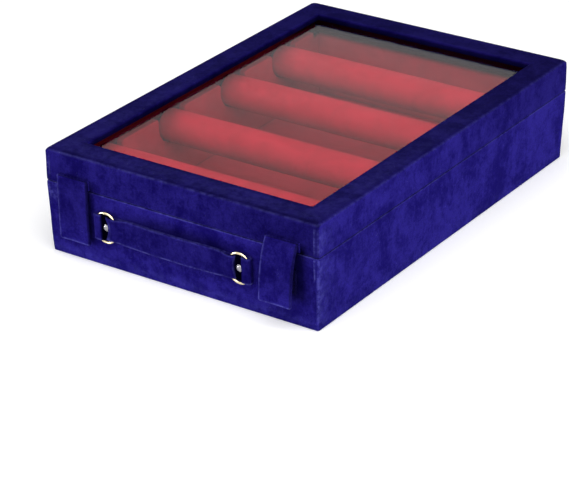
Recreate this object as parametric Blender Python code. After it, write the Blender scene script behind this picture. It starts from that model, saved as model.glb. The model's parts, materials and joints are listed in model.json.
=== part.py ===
"""Bangle box: a velvet-covered case with a window in its lid.

Four padded rolls lie in the notches of two side rails, two hanging flaps hold the lid shut,
and a carry strap hangs on two rings at the front. Metres, +Z up, front towards -Y; the origin
is the middle of the underside.
"""

import math

import bmesh
import bpy
from mathutils import Vector

# Case
CASE_WIDTH = 0.260
CASE_DEPTH = 0.382
BASE_HEIGHT = 0.062
LID_HEIGHT = 0.0277
WALL = 0.005
BASE_TAPER = 0.0019
CORNER_RADIUS = 0.0022
INNER_CORNER_RADIUS = 0.0008
TOP_EDGE_RADIUS = 0.003
RIM_RADIUS = 0.0012
FOOT_RADIUS = 0.0008
SEAM_GAP = 0.0003

# Clearance between pieces that touch or are glued together
GAP = 0.0003
# How far a cutter reaches past the face that it opens
OVERRUN = 0.001

# Window
WINDOW_SIDE_FRAME = 0.023
WINDOW_END_FRAME = 0.026
WINDOW_EDGE_RADIUS = 0.0015
WINDOW_CORNER_RADIUS = 0.0012
FRAME_THICKNESS = 0.0049
PANE_THICKNESS = 0.002
SHEET_BEVEL = 0.0003

# Linings
BOTTOM_BOARD = 0.003
FLOOR_LINING = 0.0025
WALL_LINING = 0.0022
LINING_BELOW_RAIL = 0.0004
LINING_BEVEL = 0.0006
LID_OVER_ROLL = 0.0008

# Roll rails
RAIL_THICKNESS = 0.0065
RAIL_RISE = 0.0055
RAIL_BEVEL = 0.0007
NOTCH_PLAY = 0.0032
NOTCH_LIP_RADIUS = 0.003

# Rolls, at hand-cut places along the rails: shares of the inside depth, from its middle
ROLL_PLACE_SHARES = (-0.335, -0.105, 0.132, 0.341)
ROLL_RADIUS = 0.0148
ROLL_DROP = 0.0115
ROLL_COVER = 0.0035
ROLL_END_PLAY = 0.0018
ROLL_END_DRAW = 0.0006
ROLL_END_RADIUS = 0.0022
ROLL_CORE_WALL = 0.002
ROLL_PLUG_RECESS = 0.0005
ROLL_PLUG_LIP = 0.0015
ROLL_PLUG_REACH = 0.004
ROLL_PLUG_BEVEL = 0.0003

# Lid hinges
HINGE_FROM_SIDE = 0.045
HINGE_LENGTH = 0.025
HINGE_LEAF_HEIGHT = 0.012
HINGE_LEAF_THICKNESS = 0.001
HINGE_BARREL_RADIUS = 0.002
HINGE_PIN_RADIUS = 0.001
HINGE_PIN_OVERHANG = 0.0006
HINGE_PIN_BEVEL = 0.0003
SCREW_FROM_LEAF_END = 0.0045
SCREW_RADIUS = 0.0009
SCREW_HEAD_RADIUS = 0.0021
SCREW_HEAD_HEIGHT = 0.0008
SCREW_DEPTH = 0.0035
SCREW_TIP = 0.0012
SCREW_POINT_RADIUS = 0.0003

# Closing flaps
FLAP_FROM_LEFT_SIDE = 0.0296
FLAP_FROM_RIGHT_SIDE = 0.0311
FLAP_WIDTH = 0.030
FLAP_THICKNESS = 0.0024
FLAP_EDGE_BEVEL = 0.0005
FLAP_CORNER_RADIUS = 0.002
FLAP_TOP_ABOVE_RIM = 0.0098
FLAP_BEND = 0.018
LEFT_FLAP_DROP = 0.0545
RIGHT_FLAP_DROP = 0.0495
RIGHT_FLAP_STAND_OFF = 0.010
ANCHOR_THICKNESS = 0.0015
ANCHOR_CLEARANCE = 0.0004
ANCHOR_ABOVE_RIM = 0.0012
ANCHOR_BEVEL = 0.0003
LOOP_PAD_THICKNESS = 0.0016
HOOK_PAD_THICKNESS = 0.0020
PAD_WIDTH = 0.022
PAD_LENGTH = 0.020
PAD_FROM_FLAP_END = 0.006
PAD_BEVEL = 0.0002

# Rings, tabs and rivets of the carry strap
HANDLE_BELOW_RIM = 0.0253
LEFT_TAB_FROM_FLAP = 0.0050
RIGHT_TAB_FROM_FLAP = 0.0133
RING_WIRE_RADIUS = 0.0011
RING_HALF_WIDTH = 0.0086
RING_HALF_HEIGHT = 0.0127
RING_BEND_RADIUS = 0.008
LOOP_WALL = 0.0013
LOOP_CLEARANCE = 0.0004
LOOP_HALF_HEIGHT = 0.0075
LOOP_TAPER = 0.0035
TAB_TAIL_THICKNESS = 0.0026
TAB_PAST_RIVET = 0.0004
RIVET_RADIUS = 0.0031
RIVET_HEIGHT = 0.0019
RIVET_SHANK_RADIUS = 0.0012
RIVET_DEPTH = 0.0028

# Carry strap
STRAP_WIDTH = 0.0225
STRAP_THICKNESS = 0.0030
STRAP_BOW = 0.0013
STRAP_LOOP_TAPER = 0.010
STRAP_NARROWING = 0.008
STRAP_EDGE_BEVEL = 0.0006
HANDLE_PULL = 0.0065

# Facets
CORNER_STEPS = 5
EDGE_STEPS = 5
RIM_STEPS = 3
NOTCH_STEPS = 14
NOTCH_LIP_STEPS = 3
ROLL_STEPS = 32
CROWN_STEPS = 8
PLUG_STEPS = 20
BARREL_STEPS = 14
HOLE_STEPS = 12
SCREW_STEPS = 12
RING_BEND_STEPS = 6
RING_WIRE_STEPS = 8
RIVET_STEPS = 20
DOME_STEPS = 4
FLAP_STEPS = 14
STRAP_STEPS = 22
TAB_STEPS = 6
ROUND_END_STEPS = 4

# Places worked out from the sizes above
HALF_WIDTH = CASE_WIDTH / 2
HALF_DEPTH = CASE_DEPTH / 2
LID_RIM = BASE_HEIGHT + SEAM_GAP
CASE_TOP = LID_RIM + LID_HEIGHT
FRAME_UNDERSIDE = CASE_TOP - FRAME_THICKNESS
PANE_UNDERSIDE = FRAME_UNDERSIDE - GAP - PANE_THICKNESS
FLOOR_TOP = BOTTOM_BOARD + GAP + FLOOR_LINING
LINING_FOOT = FLOOR_TOP + GAP
LINING_MIDDLE = WALL + GAP + WALL_LINING / 2
LINING_FACE = WALL + GAP + WALL_LINING
RAIL_TOP = BASE_HEIGHT + RAIL_RISE
RAIL_FACE = HALF_WIDTH - WALL - GAP - RAIL_THICKNESS
RAIL_HALF_LENGTH = HALF_DEPTH - LINING_FACE - GAP
ROLL_Z = RAIL_TOP - ROLL_DROP
ROLL_HALF_LENGTH = HALF_WIDTH - WALL - ROLL_END_PLAY
CORE_RADIUS = ROLL_RADIUS - ROLL_COVER - GAP
PLUG_SEAT = ROLL_HALF_LENGTH - ROLL_PLUG_RECESS - ROLL_PLUG_LIP
HINGE_Y = HALF_DEPTH + GAP + HINGE_BARREL_RADIUS
HINGE_Z = BASE_HEIGHT + SEAM_GAP / 2
SCREW_UP = (HINGE_BARREL_RADIUS + HINGE_LEAF_HEIGHT) / 2
FACE_TILT = math.atan(BASE_TAPER / BASE_HEIGHT)
FOLD_OFFSET = GAP + ANCHOR_THICKNESS + ANCHOR_CLEARANCE + FLAP_THICKNESS / 2
FOLD_Z = LID_RIM + FLAP_TOP_ABOVE_RIM - FLAP_THICKNESS / 2
LEFT_FLAP_X = FLAP_FROM_LEFT_SIDE - HALF_WIDTH
RIGHT_FLAP_X = HALF_WIDTH - FLAP_FROM_RIGHT_SIDE
LOOP_RADIUS = RING_WIRE_RADIUS + LOOP_CLEARANCE + LOOP_WALL
EYE_RADIUS = RING_WIRE_RADIUS + LOOP_CLEARANCE
BAR_OFFSET = GAP + LOOP_RADIUS
LEFT_BAR_X = LEFT_FLAP_X + FLAP_WIDTH / 2 + LEFT_TAB_FROM_FLAP + LOOP_RADIUS
RIGHT_BAR_X = RIGHT_FLAP_X - FLAP_WIDTH / 2 - RIGHT_TAB_FROM_FLAP - LOOP_RADIUS
HANDLE_X = (LEFT_BAR_X + RIGHT_BAR_X) / 2
HANDLE_Z = BASE_HEIGHT - HANDLE_BELOW_RIM
BAR_SPAN = (RIGHT_BAR_X - LEFT_BAR_X) / 2
STRAP_SPAN = BAR_SPAN - 2 * RING_HALF_WIDTH
RING_STRAIGHT = RING_HALF_HEIGHT - RING_BEND_RADIUS
RING_SWING = math.asin(HANDLE_PULL / (2 * RING_HALF_WIDTH))
RING_SHIFT = 2 * RING_HALF_WIDTH * (1 - math.cos(RING_SWING))
TAIL_TOP = GAP + TAB_TAIL_THICKNESS


def clear_scene():
    for old in list(bpy.data.objects):
        bpy.data.objects.remove(old, do_unlink=True)


def surface(name, colour, roughness, metallic=0.0, alpha=1.0):
    """A Principled BSDF material."""
    made = bpy.data.materials.new(name)
    made.use_nodes = True
    shader = made.node_tree.nodes["Principled BSDF"]
    shader.inputs["Base Color"].default_value = (*colour, 1.0)
    shader.inputs["Roughness"].default_value = roughness
    shader.inputs["Metallic"].default_value = metallic
    shader.inputs["Alpha"].default_value = alpha
    made.diffuse_color = (*colour, alpha)
    return made


def blue_velvet(piece):
    return surface(piece + "_blue_velvet", (0.016, 0.011, 0.120), roughness=0.90)


def red_velvet(piece):
    return surface(piece + "_red_velvet", (0.400, 0.010, 0.030), roughness=0.90)


def grey_board(piece):
    return surface(piece + "_grey_board", (0.110, 0.105, 0.100), roughness=0.80)


def brown_card(piece):
    return surface(piece + "_brown_card", (0.330, 0.230, 0.130), roughness=0.75)


def brass(piece):
    return surface(piece + "_brass", (0.790, 0.560, 0.240), roughness=0.22, metallic=1.0)


def steel(piece):
    return surface(piece + "_steel", (0.750, 0.750, 0.760), roughness=0.20, metallic=1.0)


def clear_pane(piece):
    return surface(piece + "_clear_pane", (0.900, 0.930, 0.930), roughness=0.05, alpha=0.35)


def black_fastener(piece):
    return surface(piece + "_black_fastener", (0.012, 0.011, 0.040), roughness=0.85)


def finish_object(name, shape, finish, smooth_angle=35.0):
    """Turns a bmesh into a named object with its own material."""
    bmesh.ops.recalc_face_normals(shape, faces=shape.faces)
    mesh = bpy.data.meshes.new(name)
    shape.to_mesh(mesh)
    shape.free()
    mesh.shade_smooth()
    mesh.set_sharp_from_angle(angle=math.radians(smooth_angle))
    mesh.materials.append(finish(name))
    made = bpy.data.objects.new(name, mesh)
    bpy.context.scene.collection.objects.link(made)
    return made


def pivot(name, place, tilt=0.0):
    """An empty that carries pieces: its X axis lies along the case's width."""
    made = bpy.data.objects.new(name, None)
    made.location = place
    made.rotation_euler.x = tilt
    bpy.context.scene.collection.objects.link(made)
    return made


def carry(carrier, pieces):
    """Hangs pieces that stand in the case's frame on an upright pivot, where they are."""
    for piece in pieces:
        piece.parent = carrier
        piece.location -= carrier.location


def arc(middle_u, middle_v, radius, start, end, steps):
    """Points of an arc, from the angle start to the angle end in degrees."""
    points = []
    for index in range(steps + 1):
        angle = math.radians(start + (end - start) * index / steps)
        points.append((middle_u + radius * math.cos(angle), middle_v + radius * math.sin(angle)))
    return points


def smooth_fall(share):
    """Falls softly from 1 at a share of 0 to 0 at a share of 1."""
    held = min(max(share, 0.0), 1.0)
    return (1 + math.cos(math.pi * held)) / 2


def loft(name, loops, finish, closed=False, smooth_angle=35.0):
    """A body through loops of points, capped at both ends or joined end to end."""
    shape = bmesh.new()
    rings = [[shape.verts.new(point) for point in loop] for loop in loops]
    bands = len(rings) if closed else len(rings) - 1
    for index in range(bands):
        first = rings[index]
        second = rings[(index + 1) % len(rings)]
        for here in range(len(first)):
            after = (here + 1) % len(first)
            shape.faces.new((first[here], first[after], second[after], second[here]))
    if not closed:
        shape.faces.new(rings[0])
        shape.faces.new(rings[-1])
    return finish_object(name, shape, finish, smooth_angle)


def turned(name, profile, finish, steps, closed=False):
    """A body of revolution about its X axis, through (along, radius) points."""
    loops = []
    for along, radius in profile:
        loops.append([(along, across, up) for across, up in arc(0, 0, radius, 0, 360, steps)[:-1]])
    return loft(name, loops, finish, closed)


def board(name, size, middle, finish, bevel, segments=2):
    """A flat board with rounded edges."""
    shape = bmesh.new()
    bmesh.ops.create_cube(shape, size=1)
    bmesh.ops.scale(shape, vec=size, verts=shape.verts)
    bmesh.ops.bevel(shape, geom=shape.edges, offset=bevel, segments=segments, profile=0.5, affect="EDGES")
    made = finish_object(name, shape, finish)
    made.location = middle
    return made


def band(name, stations, finish, bevel):
    """A flat band through stations: middle, width direction, thickness direction, half sizes."""
    loops = []
    for middle, across, through, half_width, half_thickness in stations:
        trim = min(bevel, half_thickness / 2)
        corners = (
            (half_width - trim, half_thickness),
            (trim - half_width, half_thickness),
            (-half_width, half_thickness - trim),
            (-half_width, trim - half_thickness),
            (trim - half_width, -half_thickness),
            (half_width - trim, -half_thickness),
            (half_width, trim - half_thickness),
            (half_width, half_thickness - trim),
        )
        loops.append([middle + across * wide + through * deep for wide, deep in corners])
    return loft(name, loops, finish)


def cut(piece, cutter):
    """Takes the cutter's shape out of the piece."""
    cutter.hide_render = True
    cutter.display_type = "WIRE"
    opening = piece.modifiers.new(cutter.name, "BOOLEAN")
    opening.operation = "DIFFERENCE"
    opening.object = cutter


def rounded_rectangle(half_x, half_y, radius, height):
    """A level loop with round corners."""
    points = []
    for quarter, (side_x, side_y) in enumerate(((1, 1), (-1, 1), (-1, -1), (1, -1))):
        middle_x = side_x * (half_x - radius)
        middle_y = side_y * (half_y - radius)
        start = 90 * quarter
        for x, y in arc(middle_x, middle_y, radius, start, start + 90, CORNER_STEPS):
            points.append((x, y, height))
    return points


def case_loop(inset, radius, height):
    """A loop parallel to the case's outline, a given distance inside it."""
    return rounded_rectangle(HALF_WIDTH - inset, HALF_DEPTH - inset, radius, height)


def window_loop(outset, height):
    """A loop parallel to the window's outline, a given distance outside it."""
    return rounded_rectangle(
        HALF_WIDTH - WINDOW_SIDE_FRAME + outset,
        HALF_DEPTH - WINDOW_END_FRAME + outset,
        WINDOW_CORNER_RADIUS + outset,
        height,
    )


def make_base_walls():
    """The base's four walls, leaning out a little towards the rim."""
    loops = []
    for inset, height in arc(FOOT_RADIUS, FOOT_RADIUS, FOOT_RADIUS, 270, 180, RIM_STEPS):
        loops.append(case_loop(BASE_TAPER + inset, CORNER_RADIUS - inset, height))
    rim = BASE_HEIGHT - RIM_RADIUS
    for inset, height in arc(RIM_RADIUS, rim, RIM_RADIUS, 180, 90, RIM_STEPS):
        loops.append(case_loop(inset, CORNER_RADIUS - inset, height))
    for inset, height in arc(WALL - RIM_RADIUS, rim, RIM_RADIUS, 90, 0, RIM_STEPS):
        loops.append(case_loop(inset, INNER_CORNER_RADIUS + WALL - inset, height))
    loops.append(case_loop(WALL, INNER_CORNER_RADIUS, 0))
    return loft("base_walls", loops, blue_velvet, closed=True)


def make_lid_shell():
    """The lid's walls and the frame of its window, in one board-and-velvet shell."""
    loops = []
    rim = LID_RIM + RIM_RADIUS
    for inset, height in arc(RIM_RADIUS, rim, RIM_RADIUS, 270, 180, RIM_STEPS):
        loops.append(case_loop(inset, CORNER_RADIUS - inset, height))
    shoulder = CASE_TOP - TOP_EDGE_RADIUS
    for inset, height in arc(TOP_EDGE_RADIUS, shoulder, TOP_EDGE_RADIUS, 180, 90, EDGE_STEPS):
        loops.append(case_loop(inset, CORNER_RADIUS + TOP_EDGE_RADIUS - inset, height))
    edge = CASE_TOP - WINDOW_EDGE_RADIUS
    for outset, height in arc(WINDOW_EDGE_RADIUS, edge, WINDOW_EDGE_RADIUS, 90, 180, RIM_STEPS):
        loops.append(window_loop(outset, height))
    loops.append(window_loop(0, FRAME_UNDERSIDE))
    loops.append(case_loop(WALL, INNER_CORNER_RADIUS, FRAME_UNDERSIDE))
    for inset, height in arc(WALL - RIM_RADIUS, rim, RIM_RADIUS, 0, -90, RIM_STEPS):
        loops.append(case_loop(inset, INNER_CORNER_RADIUS + WALL - inset, height))
    return loft("lid_shell", loops, blue_velvet, closed=True)


def make_boards():
    """The bottom board, and the red linings of the base's floor, front and back."""
    inner_x = CASE_WIDTH - 2 * (WALL + GAP)
    inner_y = CASE_DEPTH - 2 * (WALL + GAP)
    board("bottom_board", (inner_x, inner_y, BOTTOM_BOARD), (0, 0, BOTTOM_BOARD / 2), grey_board, SHEET_BEVEL, 1)
    floor_z = FLOOR_TOP - FLOOR_LINING / 2
    board("floor_lining", (inner_x, inner_y, FLOOR_LINING), (0, 0, floor_z), red_velvet, LINING_BEVEL)
    top = RAIL_TOP - LINING_BELOW_RAIL
    size = (inner_x, WALL_LINING, top - LINING_FOOT)
    height = (top + LINING_FOOT) / 2
    for name, side in (("front_lining", -1), ("back_lining", 1)):
        board(name, size, (0, side * (HALF_DEPTH - LINING_MIDDLE), height), red_velvet, LINING_BEVEL)


def roll_radius(along):
    """The padded cover draws in a little towards its ends."""
    return ROLL_RADIUS - ROLL_END_DRAW * (abs(along) / ROLL_HALF_LENGTH) ** 6


def roll_places():
    return [share * (CASE_DEPTH - 2 * WALL) for share in ROLL_PLACE_SHARES]


def notched_outline(inset):
    """The side view of a rail, (y, z), with a round-bottomed notch below each roll."""
    foot = LINING_FOOT + inset
    top = RAIL_TOP - inset
    end = RAIL_HALF_LENGTH - inset
    half_notch = ROLL_RADIUS + NOTCH_PLAY + inset
    notch_floor = ROLL_Z - roll_radius(RAIL_FACE) - GAP
    notch_middle = notch_floor + ROLL_RADIUS + NOTCH_PLAY
    lip = NOTCH_LIP_RADIUS - inset
    lip_z = top - lip
    points = [(end, foot), (end, top)]
    for place in reversed(roll_places()):
        points += arc(place + half_notch + lip, lip_z, lip, 90, 180, NOTCH_LIP_STEPS)
        points += arc(place, notch_middle, half_notch, 0, -180, NOTCH_STEPS)
        points += arc(place - half_notch - lip, lip_z, lip, 0, 90, NOTCH_LIP_STEPS)
    points += [(-end, top), (-end, foot)]
    return points


def make_rails():
    """Two velvet-covered boards whose notches carry the rolls by their ends."""
    half = RAIL_THICKNESS / 2
    slices = ((-half, RAIL_BEVEL), (RAIL_BEVEL - half, 0), (half - RAIL_BEVEL, 0), (half, RAIL_BEVEL))
    for name, side in (("left_rail", -1), ("right_rail", 1)):
        loops = []
        for across, inset in slices:
            loops.append([(across, y, z) for y, z in notched_outline(inset)])
        rail = loft(name, loops, red_velvet)
        rail.location.x = side * (RAIL_FACE + half)


def roll_cover_profile():
    """The cover's outside, from its left end to its right end, and back along its bore."""
    rounding = ROLL_END_RADIUS
    straight = ROLL_HALF_LENGTH - rounding
    shoulder = roll_radius(straight) - rounding
    points = arc(-straight, shoulder, rounding, 180, 90, RIM_STEPS)[:-1]
    for index in range(CROWN_STEPS + 1):
        along = -straight * math.cos(math.pi * index / CROWN_STEPS)
        points.append((along, roll_radius(along)))
    points += arc(straight, shoulder, rounding, 90, 0, RIM_STEPS)[1:]
    bore = CORE_RADIUS + GAP
    return points + [(ROLL_HALF_LENGTH, bore), (-ROLL_HALF_LENGTH, bore)]


def make_roll(number, place):
    """One roll: a padded cover on a card tube, with a plug in each end."""
    name = f"roll_{number}_"
    axis = pivot(name + "axis", (0, place, ROLL_Z))
    cover = turned(name + "cover", roll_cover_profile(), red_velvet, ROLL_STEPS, closed=True)
    bore = CORE_RADIUS - ROLL_CORE_WALL
    half = PLUG_SEAT - GAP
    tube = ((-half, CORE_RADIUS), (half, CORE_RADIUS), (half, bore), (-half, bore))
    core = turned(name + "core", tube, brown_card, PLUG_STEPS, closed=True)
    spigot = bore - GAP
    lip = PLUG_SEAT + ROLL_PLUG_LIP
    for side_name, side in (("end_left", -1), ("end_right", 1)):
        profile = (
            (side * (PLUG_SEAT - ROLL_PLUG_REACH), spigot),
            (side * PLUG_SEAT, spigot),
            (side * PLUG_SEAT, CORE_RADIUS),
            (side * (lip - ROLL_PLUG_BEVEL), CORE_RADIUS),
            (side * lip, CORE_RADIUS - ROLL_PLUG_BEVEL),
        )
        plug = turned(name + side_name, profile, red_velvet, PLUG_STEPS)
        plug.parent = axis
    cover.parent = axis
    core.parent = axis


def make_window():
    """The clear pane under the frame, and the four linings that hold it up."""
    inner_x = CASE_WIDTH - 2 * (WALL + GAP)
    inner_y = CASE_DEPTH - 2 * (WALL + GAP)
    pane_z = PANE_UNDERSIDE + PANE_THICKNESS / 2
    pane = board("window_pane", (inner_x, inner_y, PANE_THICKNESS), (0, 0, pane_z), clear_pane, SHEET_BEVEL, 1)
    foot = ROLL_Z + ROLL_RADIUS + LID_OVER_ROLL
    top = PANE_UNDERSIDE - GAP
    height = (foot + top) / 2
    pieces = [pane]
    end_size = (inner_x, WALL_LINING, top - foot)
    side_size = (WALL_LINING, CASE_DEPTH - 2 * (LINING_FACE + GAP), top - foot)
    for name, side in (("lid_lining_front", -1), ("lid_lining_back", 1)):
        place = (0, side * (HALF_DEPTH - LINING_MIDDLE), height)
        pieces.append(board(name, end_size, place, red_velvet, LINING_BEVEL))
    for name, side in (("lid_lining_left", -1), ("lid_lining_right", 1)):
        place = (side * (HALF_WIDTH - LINING_MIDDLE), 0, height)
        pieces.append(board(name, side_size, place, red_velvet, LINING_BEVEL))
    return pieces


def leaf_outline(side):
    """The end view of a hinge leaf, (y, z) from the pin's axis: a flat plate that ends in the barrel."""
    back = HINGE_LEAF_THICKNESS - HINGE_BARREL_RADIUS
    meet = math.degrees(math.acos(back / HINGE_BARREL_RADIUS))
    points = [(-HINGE_BARREL_RADIUS, HINGE_LEAF_HEIGHT), (back, HINGE_LEAF_HEIGHT)]
    points += arc(0, 0, HINGE_BARREL_RADIUS, meet, -180, BARREL_STEPS)
    return [(y, side * z) for y, z in points]


def box_cutter(name, low, high):
    """A plain box between two corners."""
    shape = bmesh.new()
    bmesh.ops.create_cube(shape, size=1)
    bmesh.ops.scale(shape, vec=[top - foot for foot, top in zip(low, high)], verts=shape.verts)
    made = finish_object(name, shape, grey_board)
    made.location = [(foot + top) / 2 for foot, top in zip(low, high)]
    return made


def make_leaf(name, axis, side, windows, finish):
    """A hinge leaf: its barrel is cut away where the other leaf's knuckles turn."""
    half = HINGE_LENGTH / 2
    loops = [[(across, y, z) for y, z in leaf_outline(side)] for across in (-half, half)]
    leaf = loft(name, loops, finish)
    leaf.location = axis
    reach = HINGE_BARREL_RADIUS + OVERRUN
    for index, (start, end) in enumerate(windows):
        low_z, high_z = sorted((-side * reach, side * (HINGE_BARREL_RADIUS + GAP)))
        low = Vector((start, -reach, low_z)) + axis
        high = Vector((end, reach, high_z)) + axis
        cut(leaf, box_cutter(f"{name}_window_{index}", low, high))
    bore_reach = half + OVERRUN
    bore_radius = HINGE_PIN_RADIUS + GAP
    bore = turned(name + "_bore", ((-bore_reach, bore_radius), (bore_reach, bore_radius)), grey_board, HOLE_STEPS)
    bore.location = axis
    cut(leaf, bore)
    return leaf


def screw_profile():
    """A pan-head screw, from its point to the top of its head; 0 is where the head sits."""
    shank = HINGE_LEAF_THICKNESS + 2 * GAP + SCREW_DEPTH
    points = [(-shank, SCREW_POINT_RADIUS), (SCREW_TIP - shank, SCREW_RADIUS), (0, SCREW_RADIUS)]
    for across, up in arc(0, 0, 1, 0, 75, RIM_STEPS):
        points.append((SCREW_HEAD_HEIGHT * up, SCREW_HEAD_RADIUS * across))
    return points


def make_screw(name, place, leaf, wall, hole_depth):
    """A screw through a hinge leaf into the wall behind it, and the hole that it sits in."""
    screw = turned(name, screw_profile(), steel, SCREW_STEPS)
    screw.location = place
    screw.rotation_euler.z = math.radians(90)
    reach = ((-hole_depth, SCREW_RADIUS + GAP), (OVERRUN, SCREW_RADIUS + GAP))
    hole = turned(name + "_hole", reach, grey_board, HOLE_STEPS)
    hole.location = place
    hole.rotation_euler.z = math.radians(90)
    cut(leaf, hole)
    cut(wall, hole)
    return screw


def make_hinge(side_name, across, base_walls, lid_shell):
    """A three-knuckle butt hinge on the back; gives the pieces that the lid carries."""
    axis = Vector((across, HINGE_Y, HINGE_Z))
    half_knuckle = HINGE_LENGTH / 6
    reach = HINGE_LENGTH / 2 + OVERRUN
    middle_window = [(-half_knuckle - GAP / 2, half_knuckle + GAP / 2)]
    outer_windows = [(-reach, GAP / 2 - half_knuckle), (half_knuckle - GAP / 2, reach)]
    name = f"hinge_{side_name}_"
    base_leaf = make_leaf(name + "base_leaf", axis, -1, middle_window, brass)
    lid_leaf = make_leaf(name + "lid_leaf", axis, 1, outer_windows, brass)
    half = HINGE_LENGTH / 2 + HINGE_PIN_OVERHANG
    trim = HINGE_PIN_BEVEL
    pin_profile = (
        (-half, HINGE_PIN_RADIUS - trim),
        (trim - half, HINGE_PIN_RADIUS),
        (half - trim, HINGE_PIN_RADIUS),
        (half, HINGE_PIN_RADIUS - trim),
    )
    pin = turned(name + "pin", pin_profile, steel, HOLE_STEPS)
    pin.location = axis
    head_y = HALF_DEPTH + GAP + HINGE_LEAF_THICKNESS + GAP
    lid_pieces = [lid_leaf]
    screw_x = HINGE_LENGTH / 2 - SCREW_FROM_LEAF_END
    hole_depth = HINGE_LEAF_THICKNESS + 3 * GAP + SCREW_DEPTH
    for number, offset in ((1, -screw_x), (2, screw_x)):
        low = (across + offset, head_y, HINGE_Z - SCREW_UP)
        high = (across + offset, head_y, HINGE_Z + SCREW_UP)
        make_screw(f"{name}base_screw_{number}", low, base_leaf, base_walls, hole_depth)
        lid_pieces.append(make_screw(f"{name}lid_screw_{number}", high, lid_leaf, lid_shell, hole_depth))
    return lid_pieces


def face_setback(height):
    """How far the base's front has leaned back at a height, from its plane at the rim."""
    return BASE_TAPER * (1 - height / BASE_HEIGHT)


def pad_top_drop(flap_drop):
    return flap_drop - PAD_FROM_FLAP_END - PAD_LENGTH


def left_stand_off():
    """What the closed flap stands off its fold, so that its hook pad lies on the loop pad."""
    drop = pad_top_drop(LEFT_FLAP_DROP)
    stack = 3 * GAP + LOOP_PAD_THICKNESS + HOOK_PAD_THICKNESS + FLAP_THICKNESS / 2
    wanted = stack - face_setback(FOLD_Z - drop) - FOLD_OFFSET
    return (wanted + drop * math.tan(FACE_TILT)) / (1 - math.exp(-drop / FLAP_BEND))


def flap_point(drop, stand_off, lean):
    """The flap's middle line, (y, z) from its fold, at a distance below it."""
    return Vector((0, drop * lean - stand_off * (1 - math.exp(-drop / FLAP_BEND)), -drop))


def flap_direction(drop, stand_off, lean):
    """Which way the flap's middle line runs at a distance below its fold."""
    slope = lean - stand_off / FLAP_BEND * math.exp(-drop / FLAP_BEND)
    return Vector((0, slope, -1)).normalized()


def flap_stations(full_drop, stand_off, lean):
    """The flap from its rounded fold to its rounded lower edge."""
    half = FLAP_THICKNESS / 2
    across = Vector((1, 0, 0))
    drops = []
    for index in range(1, ROUND_END_STEPS + 1):
        angle = math.radians(90) * index / ROUND_END_STEPS
        drops.append((-half * math.cos(angle), half * math.sin(angle)))
    last = full_drop - FLAP_CORNER_RADIUS
    for index in range(1, FLAP_STEPS + 1):
        drops.append((last * index / FLAP_STEPS, half))
    for index in range(1, ROUND_END_STEPS):
        angle = math.radians(90) * index / ROUND_END_STEPS
        drops.append((last + FLAP_CORNER_RADIUS * math.sin(angle), half * (1 + math.cos(angle)) / 2))
    stations = []
    for drop, half_thickness in drops:
        middle = flap_point(max(drop, 0), stand_off, lean) - Vector((0, 0, min(drop, 0)))
        along = flap_direction(drop, stand_off, lean) if drop > 0 else Vector((0, 0, -1))
        past = max(drop - last, 0) / FLAP_CORNER_RADIUS
        narrowing = FLAP_CORNER_RADIUS * (1 - math.sqrt(1 - past**2))
        stations.append((middle, across, along.cross(across), FLAP_WIDTH / 2 - narrowing, half_thickness))
    return stations


def make_flap(side_name, flap_x, full_drop, stand_off, lean, front_face):
    """A flap that folds over its anchor on the lid, and the two fastener pads that it closes with."""
    fold = pivot(f"flap_{side_name}_axis", (flap_x, -HALF_DEPTH - FOLD_OFFSET, FOLD_Z))
    flap = band(f"flap_{side_name}", flap_stations(full_drop, stand_off, lean), blue_velvet, FLAP_EDGE_BEVEL)
    flap.parent = fold
    foot = LID_RIM + ANCHOR_ABOVE_RIM
    top = FOLD_Z + FLAP_THICKNESS / 2
    anchor = board(
        f"flap_anchor_{side_name}",
        (FLAP_WIDTH, ANCHOR_THICKNESS, top - foot),
        (flap_x, -HALF_DEPTH - GAP - ANCHOR_THICKNESS / 2, (foot + top) / 2),
        blue_velvet,
        ANCHOR_BEVEL,
        1,
    )
    upper = flap_point(pad_top_drop(full_drop), stand_off, lean)
    lower = flap_point(pad_top_drop(full_drop) + PAD_LENGTH, stand_off, lean)
    chord = lower - upper
    inward = Vector((1, 0, 0)).cross(chord.normalized())
    deep = FLAP_THICKNESS / 2 + GAP + HOOK_PAD_THICKNESS / 2
    hook_size = (PAD_WIDTH, HOOK_PAD_THICKNESS, PAD_LENGTH)
    hook_pad = board(f"hook_pad_{side_name}", hook_size, (0, 0, 0), black_fastener, PAD_BEVEL, 1)
    hook_pad.parent = fold
    hook_pad.location = (upper + lower) / 2 + inward * deep
    hook_pad.rotation_euler.x = math.atan2(chord.y, -chord.z)
    pad_z = FOLD_Z - pad_top_drop(full_drop) - PAD_LENGTH / 2
    loop_size = (PAD_WIDTH, LOOP_PAD_THICKNESS, PAD_LENGTH)
    up_face = (pad_z - HANDLE_Z) / math.cos(FACE_TILT)
    place = (flap_x - HANDLE_X, -GAP - LOOP_PAD_THICKNESS / 2, up_face)
    loop_pad = board(f"loop_pad_{side_name}", loop_size, place, black_fastener, PAD_BEVEL, 1)
    loop_pad.parent = front_face
    return [fold, anchor]


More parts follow.
